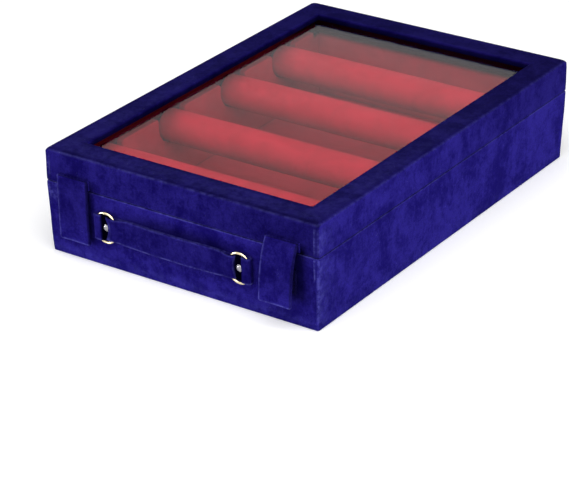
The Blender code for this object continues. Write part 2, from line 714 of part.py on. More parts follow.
def make_ring(name, side, front_face):
    """An oval wire ring that swings on its outer bar; side is where its middle lies."""
    loops = []
    corner_x = RING_HALF_WIDTH - RING_BEND_RADIUS
    corner_z = RING_HALF_HEIGHT - RING_BEND_RADIUS
    for quarter, (side_x, side_z) in enumerate(((1, 1), (-1, 1), (-1, -1), (1, -1))):
        for step in range(RING_BEND_STEPS + 1):
            angle = math.radians(90 * (quarter + step / RING_BEND_STEPS))
            outward = Vector((math.cos(angle), 0, math.sin(angle)))
            corner = Vector((side_x * corner_x, 0, side_z * corner_z))
            wire = corner + outward * RING_BEND_RADIUS + Vector((side * RING_HALF_WIDTH, 0, 0))
            section = arc(0, 0, RING_WIRE_RADIUS, 0, 360, RING_WIRE_STEPS)[:-1]
            loops.append([wire + outward * u + Vector((0, v, 0)) for u, v in section])
    ring = loft(name, loops, brass, closed=True, smooth_angle=60.0)
    ring.parent = front_face
    ring.location = (-side * BAR_SPAN, -BAR_OFFSET, 0)
    return ring


def eye_cutter(name, parent, middle, side, room):
    """A slot along the bar of a ring, wider towards one side by the room given."""
    height = STRAP_WIDTH
    start = middle.x
    end = middle.x + side * room
    left, right = sorted((start, end))
    outline = arc(right, middle.y, EYE_RADIUS, -90, 90, BARREL_STEPS // 2)
    outline += arc(left, middle.y, EYE_RADIUS, 90, 270, BARREL_STEPS // 2)
    loops = [[(x, y, z) for x, y in outline] for z in (-height, height)]
    made = loft(name, loops, grey_board)
    made.parent = parent
    return made


def bend_room():
    """How far the ring's wire has curved away from its bar at the ends of a loop."""
    past = max(LOOP_HALF_HEIGHT - RING_STRAIGHT, 0)
    return RING_BEND_RADIUS - math.sqrt(RING_BEND_RADIUS**2 - past**2)


def make_tab(side_name, side, front_face, base_walls):
    """A folded tab: a loop round the ring's outer bar, and a tail with a rivet through it."""
    room = bend_room()
    tail_end = RING_HALF_WIDTH + RIVET_RADIUS + TAB_PAST_RIVET
    across = Vector((0, 0, 1))
    through = Vector((0, 1, 0))
    shape = []
    for index in range(1, ROUND_END_STEPS + 1):
        angle = math.radians(90) * index / ROUND_END_STEPS
        shape.append((-LOOP_RADIUS * math.cos(angle), LOOP_RADIUS * math.sin(angle)))
    start = room + LOOP_CLEARANCE
    for index in range(TAB_STEPS + 1):
        share = index / TAB_STEPS
        thickness = TAB_TAIL_THICKNESS / 2 + (LOOP_RADIUS - TAB_TAIL_THICKNESS / 2) * smooth_fall(share)
        shape.append((start + LOOP_TAPER * share, thickness))
    shape.append((tail_end, TAB_TAIL_THICKNESS / 2))
    stations = []
    for along, half_thickness in shape:
        middle = Vector((side * (along - BAR_SPAN), -GAP - half_thickness, 0))
        stations.append((middle, across, through, LOOP_HALF_HEIGHT, half_thickness))
    tab = band(f"handle_tab_{side_name}", stations, blue_velvet, FLAP_EDGE_BEVEL)
    tab.parent = front_face
    bar = Vector((-side * BAR_SPAN, -BAR_OFFSET, 0))
    cut(tab, eye_cutter(f"handle_tab_{side_name}_eye", front_face, bar, side, room))
    place = (side * (RING_HALF_WIDTH - BAR_SPAN), 0, 0)
    make_rivet(side_name, place, front_face, (tab, base_walls))


def make_rivet(side_name, place, front_face, pierced):
    """A domed rivet through a tab's tail into the front wall."""
    seat = TAIL_TOP + GAP
    profile = [(-RIVET_DEPTH, RIVET_SHANK_RADIUS), (seat, RIVET_SHANK_RADIUS)]
    for across, up in arc(0, 0, 1, 0, 80, DOME_STEPS):
        profile.append((seat + RIVET_HEIGHT * up, RIVET_RADIUS * across))
    rivet = turned(f"rivet_{side_name}", profile, steel, RIVET_STEPS)
    bore = RIVET_SHANK_RADIUS + GAP
    depth = -RIVET_DEPTH - GAP
    hole = turned(f"rivet_{side_name}_hole", ((depth, bore), (seat + OVERRUN, bore)), grey_board, HOLE_STEPS)
    for piece in (rivet, hole):
        piece.parent = front_face
        piece.location = place
        piece.rotation_euler.z = math.radians(-90)
    for piece in pierced:
        cut(piece, hole)


def make_strap(front_face):
    """The carry strap: bowed away from the case, with a loop round each ring's inner bar."""
    room = RING_SHIFT + bend_room()
    end = STRAP_SPAN + room
    shape = []
    for index in range(1, ROUND_END_STEPS):
        angle = math.radians(90) * index / ROUND_END_STEPS
        shape.append((-end - LOOP_RADIUS * math.cos(angle), LOOP_RADIUS * math.sin(angle)))
    shape.append((-end, LOOP_RADIUS))
    for index in range(1, STRAP_STEPS):
        along = -STRAP_SPAN * math.cos(math.pi * index / STRAP_STEPS)
        fall = smooth_fall((STRAP_SPAN - abs(along)) / STRAP_LOOP_TAPER)
        shape.append((along, STRAP_THICKNESS / 2 + (LOOP_RADIUS - STRAP_THICKNESS / 2) * fall))
    shape += [(-along, half) for along, half in reversed(shape[:ROUND_END_STEPS])]
    across = Vector((0, 0, 1))
    through = Vector((0, 1, 0))
    stations = []
    for along, half_thickness in shape:
        inside = min(abs(along) / STRAP_SPAN, 1)
        bow = STRAP_BOW * (1 - inside**2) ** 2
        narrowed = (STRAP_WIDTH / 2 - LOOP_HALF_HEIGHT) * smooth_fall((STRAP_SPAN - abs(along)) / STRAP_NARROWING)
        middle = Vector((along, -BAR_OFFSET - bow, 0))
        stations.append((middle, across, through, STRAP_WIDTH / 2 - narrowed, half_thickness))
    strap = band("carry_strap", stations, blue_velvet, STRAP_EDGE_BEVEL)
    strap.parent = front_face
    for side_name, side in (("left", -1), ("right", 1)):
        bar = Vector((side * STRAP_SPAN, -BAR_OFFSET, 0))
        cut(strap, eye_cutter(f"carry_strap_eye_{side_name}", front_face, bar, side, room))


def main():
    clear_scene()
    base_walls = make_base_walls()
    lid_shell = make_lid_shell()
    make_boards()
    make_rails()
    for number, place in enumerate(roll_places(), start=1):
        make_roll(number, place)
    lid_pieces = [lid_shell, *make_window()]
    for side_name, across in (("left", HINGE_FROM_SIDE - HALF_WIDTH), ("right", HALF_WIDTH - HINGE_FROM_SIDE)):
        lid_pieces += make_hinge(side_name, across, base_walls, lid_shell)
    face_y = face_setback(HANDLE_Z) - HALF_DEPTH
    front_face = pivot("front_face", (HANDLE_X, face_y, HANDLE_Z), FACE_TILT)
    lean = math.tan(FACE_TILT)
    lid_pieces += make_flap("left", LEFT_FLAP_X, LEFT_FLAP_DROP, left_stand_off(), lean, front_face)
    lid_pieces += make_flap("right", RIGHT_FLAP_X, RIGHT_FLAP_DROP, RIGHT_FLAP_STAND_OFF, 0, front_face)
    for side_name, side in (("left", 1), ("right", -1)):
        make_ring(f"ring_{side_name}", side, front_face)
        make_tab(side_name, side, front_face, base_walls)
    make_strap(front_face)
    lid_axis = pivot("lid_axis", (0, HINGE_Y, HINGE_Z))
    carry(lid_axis, lid_pieces)


main()
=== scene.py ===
"""Looks of the bangle box: blue velvet over board, red velvet inside, brass, steel and a clear pane.

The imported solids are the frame. Cloth-covered shells, padded rolls, flaps, strap, tabs, rings and
rivets are made here in their places; the other solids keep their shape and get a finish.
Metres, +Z up, front towards -Y.
"""

import json
import math
from collections import namedtuple

import bmesh
import bpy
from mathutils import Matrix, Vector, noise


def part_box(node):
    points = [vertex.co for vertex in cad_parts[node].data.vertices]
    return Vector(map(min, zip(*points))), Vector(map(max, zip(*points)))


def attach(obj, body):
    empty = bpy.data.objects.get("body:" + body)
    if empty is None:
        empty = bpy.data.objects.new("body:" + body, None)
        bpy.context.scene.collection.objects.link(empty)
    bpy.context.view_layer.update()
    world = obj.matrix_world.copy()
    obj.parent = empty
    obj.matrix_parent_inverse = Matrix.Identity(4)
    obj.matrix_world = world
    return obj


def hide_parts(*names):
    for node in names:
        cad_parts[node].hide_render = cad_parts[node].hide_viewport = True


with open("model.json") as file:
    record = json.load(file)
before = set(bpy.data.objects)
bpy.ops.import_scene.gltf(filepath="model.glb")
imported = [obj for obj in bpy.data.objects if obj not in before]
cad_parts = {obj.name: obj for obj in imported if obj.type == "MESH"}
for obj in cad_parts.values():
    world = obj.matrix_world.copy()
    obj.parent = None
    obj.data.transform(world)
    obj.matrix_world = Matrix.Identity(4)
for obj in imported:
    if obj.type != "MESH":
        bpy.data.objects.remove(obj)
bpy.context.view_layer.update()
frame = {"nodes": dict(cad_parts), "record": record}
NODES = frame["nodes"]
X, Y, Z = range(3)


def fine(value):
    """A length to the micrometre, or an angle as finely."""
    return round(value, 6)


def ends(node, axis):
    """Where a solid begins and ends along an axis."""
    return [fine(corner[axis]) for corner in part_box(node)]


def middle_of(node, axis):
    return fine(sum(ends(node, axis)) / 2)


def half_size_of(node, axis):
    low, high = ends(node, axis)
    return fine((high - low) / 2)


# Camera, fitted to the box's edges in the photograph; lens and sensor in millimetres
CAMERA_PLACE = (1.0347, -1.5415, 0.8856)
CAMERA_FORWARD = (-0.5093, 0.7353, -0.4471)
CAMERA_UP = (-0.2426, 0.3758, 0.8944)
CAMERA_LENS = 155.79
CAMERA_SENSOR = 36.0
CAMERA_NEAR = 0.05
CAMERA_FAR = 50.0

# Lamps as (name, place, width and height, watts), all turned to one point, and the floor
LAMP_AIM = (0, 0, 0.04)
LAMPS = (
    ("right", (2.4, 0.55, 0.30), (1.6, 0.5), 40.0),
    ("front", (-2.0, -1.8, 0.20), (1.0, 0.30), 24.0),
    ("top", (0.6, -1.1, 1.8), (3.0, 3.0), 66.0),
)
WORLD_LIGHT = 0.35
FLOOR_SIZE = 12.0
FLOOR_DROP = 0.0004
FLOOR_GLOW = 0.16

# Case: its outside comes from the solids' boxes, its walls and edges are as in the solids
HALF_WIDTH = half_size_of("base_walls", X)
HALF_DEPTH = half_size_of("base_walls", Y)
BASE_HEIGHT = ends("base_walls", Z)[1]
LID_RIM, CASE_TOP = ends("lid_shell", Z)
PANE_GAP = 0.0003
FRAME_UNDERSIDE = fine(ends("window_pane", Z)[1] + PANE_GAP)
WALL = 0.005
BASE_TAPER = 0.0019
CORNER_RADIUS = 0.0022
INNER_RADIUS = 0.0008
TOP_EDGE_RADIUS = 0.003
RIM_RADIUS = 0.0012
FOOT_RADIUS = 0.0008
WINDOW_SIDE_FRAME = 0.023
WINDOW_END_FRAME = 0.026
WINDOW_HALF_WIDTH = fine(HALF_WIDTH - WINDOW_SIDE_FRAME)
WINDOW_HALF_DEPTH = fine(HALF_DEPTH - WINDOW_END_FRAME)
WINDOW_CORNER_RADIUS = 0.0012
WINDOW_EDGE_RADIUS = 0.0015

# Cloth laid over the case: one face's cloth laps over the next near each upright corner
LAP_FROM_CORNER = 0.0046
LAP_HEIGHT = 0.0005
LAP_FALL = 0.0035
LAP_EDGE = 0.0002
LAP_RIDGE = 0.0006
LAP_OFFSETS = (-0.0004, -0.0001, 0.0002, 0.0005)
BOARD_WAVE = 0.00022
BOARD_WAVE_SCALE = 31.0
RIPPLE_SCALE = 78.0

# Steps of the case's mesh
SIDE_STEP = 0.0042
UPRIGHT_STEP = 0.004
CORNER_STEPS = 7
EDGE_STEPS = 4
INNER_EDGE_STEPS = 3
TOP_EDGE_STEPS = 7
TOP_STEP_SHARES = (0.2, 0.4, 0.6, 0.8)

# Wear of the case's velvet, 0 to 1, in pairs left before right, and where it fades
FRONT_WEAR = 1.0
SIDE_WEAR = 0.55
FOOT_WEAR = 0.9
NEAR_FOOT_WEAR = 0.35
NEAR_FOOT_FALL = 0.0035
RIM_WEAR = 0.38
RIM_WEAR_DEPTH = 0.0006
LID_RIM_WEAR = 0.25
TOP_EDGE_WEAR = 0.24
# A little painted sheen over the case's top, as a share of the rubbed colour, and where it fades towards the
# back
TOP_SHEEN = 0.06
TOP_SHEEN_FADE = (-0.10, 0.16)
CORNER_WEARS = (0.12, 0.40)
RIDGE_WEARS = (0.30, 0.60)

# Rubbed blotches below the seam at the left front corner and along the right side's front
LEFT_BLOTCH_WEAR = 0.45
LEFT_BLOTCH_WIDTH = 0.011
LEFT_BLOTCH_HEIGHT = 0.014
LEFT_BLOTCH_SCALE = 260
RIGHT_BLOTCH_WEAR = 0.55
RIGHT_BLOTCH_FALL = 0.009
RIGHT_BLOTCH_SCALE = 160

# Stretches over which a face turns lighter or darker, as (from, to); near the foot it is painted floor light
TOP_TONE_FADE = (-0.12, 0.16)
FOOT_LIGHT_FADE = (0.006, 0.026)
BASE_TONE_FADE = (0.02, 0.12)
LID_TONE_FADE = (0.0, 0.10)
SIDE_TONE_FADE = (-0.05, 0.15)

# Painted shade: shadows right of each flap as (foot, top, reach) and above the strap, and shade on the inner
# walls and the window's reveal
LEFT_FLAP_SHADOW = (0.018, 0.068, 0.0055)
RIGHT_FLAP_SHADOW = (0.022, 0.068, 0.0065)
SHADOW_FADE = 0.004
STRAP_SHADOW_FROM = 0.0112
STRAP_SHADOW_FADE = (0.0005, 0.0110)
STRAP_SHADOW_SHIFT = 0.012
STRAP_SHADOW_HALF = 0.062
PAINTED_SHADOW_SHARE = 0.68
INSIDE_SHADE = 0.9
REVEAL_SHADE = 0.95
REVEAL_EDGE_SHADE = 0.85
REVEAL_FADE = (-0.003, 0.009)

# Rolls
ROLL_RADIUS = half_size_of("roll_1_cover", Z)
ROLL_HALF_LENGTH = half_size_of("roll_1_cover", X)
ROLL_CORE_RADIUS = half_size_of("roll_1_core", Z)
ROLL_END_RADIUS = 0.0022
ROLL_END_DRAW = 0.0006
ROLL_END_STEPS = 6
TUCK_REACH = 0.0012
TUCK_LIFT = 0.0006
TUCK_END_LIFT = 0.0002
ROLL_TIED_REACH = 0.012
ROLL_ROWS = 64
ROLL_COLUMNS = 48
ROLL_INSET = 0.00025
LUMP_HEIGHT = 0.00035
LUMP_SCALE = 24
PLEAT_HEIGHT = 0.00016
PLEAT_COUNT = 17
SEAM_RIDGE = 0.00035
SEAM_DEPTH = 0.0004
SWELL_PRESSURE = 200.0
SWELL_STIFFNESS = 80.0
SWELL_SLACK_SHARE = 0.006
SWELL_FRAMES = 20
SWELL_CAP = 0.0005

# Closing flaps
FLAP_WIDTH = 2 * half_size_of("flap_left", X)
FLAP_THICKNESS = 0.0024
FLAP_EDGE = 0.0009
FLAP_CORNER_RADIUS = 0.002
FLAP_BEND = 0.018
FLAP_TOP_ABOVE_RIM = 0.0098
FOLD_OFFSET = 0.0034
FOLD_Y = fine(-HALF_DEPTH - FOLD_OFFSET)
FOLD_Z = fine(LID_RIM + FLAP_TOP_ABOVE_RIM - FLAP_THICKNESS / 2)
LEFT_FLAP_X = middle_of("flap_left", X)
RIGHT_FLAP_X = middle_of("flap_right", X)
LEFT_FLAP_DROP = 0.0545
RIGHT_FLAP_DROP = 0.0495
LEFT_FLAP_STAND_OFF = 0.00058
RIGHT_FLAP_STAND_OFF = 0.010
FLAP_CURL = 0.0007
FLAP_WAVE = 0.00035
FLAP_EDGE_WAVE = 0.0004
FLAP_WAVE_SCALES = (70, 60, 9)
FLAP_EDGE_SCALES = (55, 13, 1)
NEAR_EDGE = 0.0012

# Strap, tabs, rings and rivets, in the plane of the leaning front face
SIDES = (("left", 1), ("right", -1))
WIRE_RADIUS = 0.0011
RING_HALF_WIDTH = 0.0086
RING_HALF_HEIGHT = 0.0127
RING_BEND_RADIUS = 0.008
HANDLE_DROP = 0.0253
HANDLE_X = fine((middle_of("ring_left", X) + middle_of("ring_right", X)) / 2)
HANDLE_Z = fine(BASE_HEIGHT - HANDLE_DROP)
HANDLE_Y = fine(BASE_TAPER * (1 - HANDLE_Z / BASE_HEIGHT) - HALF_DEPTH)
FACE_TILT = fine(math.atan(BASE_TAPER / BASE_HEIGHT))
BAR_SPAN = fine(HANDLE_X - ends("ring_left", X)[0] - WIRE_RADIUS)
STRAP_SPAN = fine(BAR_SPAN - 2 * RING_HALF_WIDTH)
BAR_OFFSET = 0.0031
LOOP_RADIUS = 0.0028
LAYER = 0.00142
CLOTH_EDGE = 0.0006
STRAP_HALF_WIDTH = 0.01125
STRAP_NARROWING = 0.0014
STRAP_NARROWS_OVER = 0.014
STRAP_BOW = 0.0013
STRAP_WAVE = 0.00035
STRAP_WAVE_RISE = 0.01
STRAP_EDGE_WAVE = 0.0005
STRAP_WAVE_SCALES = (45, 45, 1)
STRAP_EDGE_SCALES = (30, 1, 1)
STRAP_LOOP_LENGTH = 0.009
LOOP_BULGE = 0.0024
TURN_SHARES = (0.25, 0.5, 0.75)
LOOP_STRETCH = 0.0024
LOOP_STRETCH_OVER = 0.0025
LOOP_STRETCH_HEIGHT = 0.0100
LEFT_SLACK = 0.0018
RIGHT_SLACK = 0.0004
TURNED_FROM = 0.0022
TAB_HALF_WIDTH = 0.0112
TAB_TAIL = 0.0124
TAB_LOOP_REACH = 0.0018
TAB_GAP = 0.0003
TAB_LAYER_GAP = 0.00008
TAB_FALL = (0.0048, 0.0064)
TAB_SHADE_FADE = (0.0046, 0.0060)
TAIL_TOP = 0.0029
RIVET_RADIUS = 0.0027
RIVET_HEIGHT = 0.0015
RIVET_LIFT = 0.0002
RIVET_SHANK_RADIUS = 0.0018
RIVET_SHANK_DEPTH = 0.0024
RIVET_RIM = 0.0003
RIVET_RIM_FOOT = 0.0002
RIVET_RIM_HEIGHT = 0.0004

# Velvet: scales of its textures, shares of them in the pile's tone, depths of its bumps
PATCH_SCALE = 24
MARK_SCALE = 105
STROKE_SCALES = (330, 330, 40)
SPECKLE_SCALE = 430
GRAIN_SCALE = 1500
WEAR_SCALE = 170
FLECK_SCALE = 900
FLECK_FIELD_SCALE = 210
PATCH_SHARE = 0.42
MARK_SHARE = 0.26
STROKE_SHARE = 0.09
SPECKLE_SHARE = 0.23
# Shares by which "brushed" lightens or darkens, partly as painted floor light, and by which painted shade
# darkens
TONE_AND_LIGHT_SHARE = 0.30
SHADE_SHARE = 0.92
PILE_DEPTH = 0.00025
MARK_DEPTH = 0.0008
# The red lining on the inner side walls, coloured as red velvet in painted shade
SHADED_LINING = (0.080, 0.0022, 0.0120)

# Depths of the other finishes' bumps
WIPE_DEPTH = 0.00004
FIBRE_DEPTH = 0.0002
TAPE_DEPTH = 0.0005

# Painted shade on the red lining: where it turns darker, and by what share
SEAM_FADE = (0.0709, 0.0717)
BACK_WALL_FROM = (0.172, 0.175)
BACK_WALL_FADE = (0.060, 0.066)
DEEPER_FADE = (0.10, 0.17)
LID_SHADE_SHARES = (0.85, 0.96)
FLOOR_FADE = (0.006, 0.009)
FLOOR_SHADE_SHARE = 0.22

# Pane: along its left and back edges its mirroring is turned down, and tinted dark blue at the back, as a
# painted reflection of the dark window frame in place of the room
SIDE_STRIP = (0.0046, 0.0082)
BACK_STRIP = (0.0080, 0.0128)
FRAME_REFLECTION_TINT = (0.06, 0.09, 0.60)
ROOM_COLOUR = (0.97, 0.93, 0.97)


def ease(low, high, value):
    """0 at the low end, 1 at the high end and a smooth rise between them."""
    share = min(max((value - low) / (high - low), 0.0), 1.0)
    return share * share * (3 - 2 * share)


# Materials


class Shader:
    """The node tree of a material or of the world, built node by node."""

    def __init__(self, owner, surface):
        owner.use_nodes = True
        self.owner = owner
        self.tree = owner.node_tree
        self.surface = self.tree.nodes[surface]
        self.place = self.add("ShaderNodeTexCoord").outputs["Object"]

    def feed(self, node, slot, value):
        """Links a socket to an input, or sets the input to a plain value."""
        if isinstance(value, bpy.types.NodeSocket):
            self.tree.links.new(value, node.inputs[slot])
        else:
            node.inputs[slot].default_value = value

    def add(self, kind, inputs=(), **settings):
        """A new node with its settings and then its inputs, as (slot, value) pairs."""
        node = self.tree.nodes.new(kind)
        for key, value in settings.items():
            setattr(node, key, value)
        for slot, value in inputs:
            self.feed(node, slot, value)
        return node

    def set(self, **values):
        """Feeds the surface's inputs, named with _ for a space."""
        for key, value in values.items():
            self.feed(self.surface, key.replace("_", " "), value)

    def math(self, operation, *values):
        return self.add("ShaderNodeMath", enumerate(values), operation=operation).outputs[0]

    def times(self, first, second):
        return self.math("MULTIPLY", first, second)

    def range(self, value, low, high, to_low=0.0, to_high=1.0):
        """A smooth step from one value to another."""
        values = enumerate((value, low, high, to_low, to_high))
        return self.add("ShaderNodeMapRange", values, interpolation_type="SMOOTHSTEP").outputs[0]

    def parts(self, vector):
        return self.add("ShaderNodeSeparateXYZ", [(0, vector)]).outputs

    def scaled(self, scale):
        return self.add("ShaderNodeMapping", [("Vector", self.place), ("Scale", scale)]).outputs[0]

    def noise(self, scale, detail=3.0, roughness=0.55, vector=None, distortion=0.0):
        inputs = [("Vector", self.place if vector is None else vector), ("Scale", scale)]
        inputs += [("Detail", detail), ("Roughness", roughness), ("Distortion", distortion)]
        return self.add("ShaderNodeTexNoise", inputs).outputs["Fac"]

    def cells(self, scale):
        inputs = [("Vector", self.place), ("Scale", scale)]
        return self.add("ShaderNodeTexVoronoi", inputs).outputs["Distance"]

    def attribute(self, name):
        return self.add("ShaderNodeAttribute", attribute_name=name).outputs["Fac"]

    def mix(self, share, *colours, blend="MIX"):
        """Two colours, each a socket or red, green and blue, mixed by a share."""
        inputs = [(0, share)]
        for slot, colour in zip((6, 7), colours):
            inputs.append((slot, colour if isinstance(colour, bpy.types.NodeSocket) else (*colour, 1.0)))
        return self.add("ShaderNodeMix", inputs, data_type="RGBA", blend_type=blend).outputs[2]

    def dim(self, colour, share):
        """A colour times a plain share."""
        grey = self.add("ShaderNodeCombineColor", [(slot, share) for slot in range(3)])
        return self.mix(1.0, colour, grey.outputs[0], blend="MULTIPLY")

    def bump(self, height, strength, distance, below=None):
        inputs = [("Strength", strength), ("Distance", distance), ("Height", height)]
        if below is not None:
            inputs.append(("Normal", below))
        return self.add("ShaderNodeBump", inputs).outputs[0]


def new_finish(name):
    return Shader(bpy.data.materials.new(name), "Principled BSDF")


def velvet_nap(s, marks):
    """The pile's tone: patches, marks, strokes and speckle, each with its share."""
    patches = s.noise(PATCH_SCALE, detail=5, roughness=0.62, distortion=0.8)
    strokes = s.noise(1, detail=3, roughness=0.6, vector=s.scaled(STROKE_SCALES))
    speckle = s.noise(SPECKLE_SCALE, detail=4, roughness=0.75)
    nap = s.times(patches, PATCH_SHARE)
    for texture, share in ((marks, MARK_SHARE), (strokes, STROKE_SHARE), (speckle, SPECKLE_SHARE)):
        nap = s.math("ADD", nap, s.times(texture, share))
    return nap


def velvet(name, laid, brushed, wear_and_sheen, sheen, sheen_weight, shadow, grain_depth, lint):
    """Short-pile velvet: patches where the pile is brushed another way, rubbed edges and a little lint.

    The attribute "worn" says where the pile is rubbed light, and on the top where a little painted sheen is
    laid on;
    "shade" where shade is painted in; "brushed" where the velvet is made lighter, or below 0 darker, partly
    as painted floor light; and "lined" where a red lining covers a board's inner side, coloured in painted
    shade.
    """
    s = new_finish(name)
    marks = s.noise(MARK_SCALE, detail=4, roughness=0.65, distortion=0.4)
    grain = s.noise(GRAIN_SCALE, detail=2, roughness=0.5)
    nap = velvet_nap(s, marks)
    colour = s.mix(s.range(nap, 0.415, 0.585), laid, brushed)
    colour = s.dim(colour, s.range(grain, 0.3, 0.7, 1 - grain_depth, 1 + grain_depth))
    colour = s.dim(colour, shadow(s))
    uneven = s.range(s.noise(WEAR_SCALE, detail=5, roughness=0.7), 0.40, 0.60, 0.18, 1.0)
    # The rubbed colour on worn places, and as a little painted sheen on the top
    colour = s.mix(s.times(s.attribute("wear_and_sheen"), uneven), colour, wear_and_sheen)
    fleck = s.range(s.cells(FLECK_SCALE), 0.13, 0.05)
    fleck = s.times(fleck, s.range(s.noise(FLECK_FIELD_SCALE, detail=1), 0.62, 0.72))
    colour = s.mix(s.times(fleck, lint), colour, [0.30 + 0.55 * value for value in wear_and_sheen])
    # Lighter or darker where "brushed" says, partly painted floor light, and darker under painted shade
    lightened = s.math("MULTIPLY_ADD", s.attribute("brushed"), TONE_AND_LIGHT_SHARE, 1.0)
    light = s.math("SUBTRACT", lightened, s.times(s.attribute("shade"), SHADE_SHARE))
    # Where a red lining covers an inner wall it takes the lining's colour in painted shade
    colour = s.mix(s.attribute("lined"), s.dim(colour, light), SHADED_LINING)
    soft = s.bump(marks, grain_depth * 1.25, MARK_DEPTH, s.bump(grain, grain_depth, PILE_DEPTH))
    s.set(Base_Color=colour, Normal=soft, Roughness=s.range(nap, 0.35, 0.65, 0.96, 0.84))
    s.set(Sheen_Weight=s.times(light, sheen_weight), Specular_IOR_Level=s.times(light, 0.03))
    s.set(Sheen_Roughness=0.45, Sheen_Tint=(*sheen, 1.0))
    return s.owner


def painted_top_shade(s):
    """Painted shade: blue velvet is made darker where it lies level, facing up."""
    up = s.parts(s.add("ShaderNodeTexCoord").outputs["Normal"])[2]
    return s.range(up, 0.35, 0.85, 1.0, 0.54)


def lining_shadow(s):
    """Painted shade on the lining: darker in the lid, high on the back wall and over the floor."""
    _, deep, high = s.parts(s.place)
    behind = s.times(s.range(deep, *BACK_WALL_FROM), s.range(high, *BACK_WALL_FADE))
    above = s.math("MAXIMUM", behind, s.range(high, *SEAM_FADE))
    lid_shade = s.times(above, s.range(deep, *DEEPER_FADE, *LID_SHADE_SHARES))
    level = s.range(high, *FLOOR_FADE, FLOOR_SHADE_SHARE, 0.0)
    return s.math("SUBTRACT", 1.0, s.math("MAXIMUM", lid_shade, level))


def blue_velvet():
    return velvet(
        "blue_velvet",
        laid=(0.0036, 0.0014, 0.075),
        brushed=(0.0125, 0.0080, 0.143),
        wear_and_sheen=(0.085, 0.082, 0.380),
        sheen=(0.22, 0.22, 0.95),
        sheen_weight=0.018,
        shadow=painted_top_shade,
        grain_depth=0.2,
        lint=0.5,
    )


def red_velvet():
    return velvet(
        "red_velvet",
        laid=(0.370, 0.0100, 0.0230),
        brushed=(0.460, 0.0130, 0.0300),
        wear_and_sheen=(0.560, 0.040, 0.060),
        sheen=(1.0, 0.25, 0.30),
        sheen_weight=0.03,
        shadow=lining_shadow,
        grain_depth=0.03,
        lint=0.15,
    )


def metal(name, colour, roughness):
    """Plated metal with fine wiping marks."""
    s = new_finish(name)
    marks = s.noise(1, detail=3, vector=s.scaled((2600, 500, 2600)))
    haze = s.noise(380, detail=3)
    s.set(Base_Color=s.dim(colour, s.range(haze, 0.3, 0.7, 0.88, 1.0)), Metallic=1.0)
    s.set(Roughness=s.range(haze, 0.3, 0.7, roughness * 0.8, roughness * 1.5))
    s.set(Normal=s.bump(marks, 0.25, WIPE_DEPTH))
    return s.owner


def clear_sheet():
    """A clear sheet: it lets light through and mirrors a little of the room, with faint wiping marks; as
    painted reflection, its mirroring is set stronger towards the back, turned down along its left and back
    edges and tinted dark blue at the back.
    """
    s = new_finish("window")
    facing = s.add("ShaderNodeLayerWeight").outputs["Facing"]
    mirror = s.math("MULTIPLY_ADD", s.math("POWER", facing, 5.0), 0.9, 0.018)
    wipes = s.noise(1, detail=3, vector=s.scaled((9, 30, 9)))
    share = s.times(mirror, s.range(wipes, 0.3, 0.7, 0.94, 1.06))
    across, deep, _ = s.parts(s.place)
    # Painted reflection: mirroring set stronger towards the back and turned down along the left and back
    # edges
    share = s.times(share, s.range(deep, -WINDOW_HALF_DEPTH, WINDOW_HALF_DEPTH, 0.78, 0.95))
    from_side = s.math("ADD", across, WINDOW_HALF_WIDTH)
    share = s.times(share, s.range(from_side, *SIDE_STRIP, 0.05, 1.0))
    from_back = s.math("SUBTRACT", WINDOW_HALF_DEPTH, deep)
    open_room = s.range(from_back, *BACK_STRIP)
    share = s.times(share, s.range(open_room, 0.0, 1.0, 0.6, 1.0))
    outside = s.math("SUBTRACT", 1.0, s.add("ShaderNodeNewGeometry").outputs["Backfacing"])
    s.set(Alpha=s.times(share, outside))
    # Painted reflection of the dark blue frame in the back strip
    s.set(Base_Color=s.mix(open_room, FRAME_REFLECTION_TINT, ROOM_COLOUR))
    s.set(Metallic=1.0, Roughness=0.18)
    return s.owner


def fibre(name, dark, light, scale, roughness):
    """Board or card: short fibres and a slightly uneven tone."""
    s = new_finish(name)
    flecks = s.noise(1, detail=4, roughness=0.65, vector=s.scaled((scale, scale * 0.22, scale)))
    cloud = s.noise(40, detail=3)
    tone = s.math("ADD", s.times(flecks, 0.6), s.times(cloud, 0.4))
    s.set(Base_Color=s.mix(s.range(tone, 0.35, 0.65), dark, light), Normal=s.bump(flecks, 0.3, FIBRE_DEPTH))
    s.set(Roughness=roughness, Specular_IOR_Level=0.2)
    return s.owner


def fastener(name, scale, strength):
    """Hook or loop tape: a field of small hooks or loops, dark blue, darkened as painted shade where it lies
    behind the flaps.
    """
    s = new_finish(name)
    dark = (0.003, 0.002, 0.034)
    light = (0.008, 0.006, 0.070)
    cells = s.cells(scale)
    s.set(Base_Color=s.mix(s.range(cells, 0.15, 0.55), light, dark))
    s.set(Normal=s.bump(cells, strength, TAPE_DEPTH))
    s.set(Roughness=0.8, Specular_IOR_Level=0.02, Sheen_Weight=0.01, Sheen_Tint=(*light, 1.0))
    return s.owner


MATERIALS = {
    "blue_velvet": blue_velvet(),
    "red_velvet": red_velvet(),
    "brass": metal("brass", (0.90, 0.76, 0.50), 0.12),
    "hinge_brass": metal("hinge_brass", (0.74, 0.52, 0.22), 0.30),
    "bright_steel": metal("bright_steel", (0.36, 0.35, 0.37), 0.20),
    "screw_steel": metal("screw_steel", (0.66, 0.62, 0.50), 0.28),
    "window": clear_sheet(),
    "grey_board": fibre("grey_board", (0.085, 0.082, 0.078), (0.150, 0.145, 0.138), 900, 0.85),
    "brown_card": fibre("brown_card", (0.25, 0.17, 0.095), (0.40, 0.29, 0.17), 700, 0.80),
    "hook_fastener": fastener("hook_fastener", 1300, 0.9),
    "loop_fastener": fastener("loop_fastener", 900, 0.6),
}
MATERIALS["roll_velvet"] = MATERIALS["red_velvet"]


# Mesh helpers

# Looks of a cloth piece's points, in this order; "lined" may be left out
LOOKS = ("wear_and_sheen", "shade", "brushed", "lined")


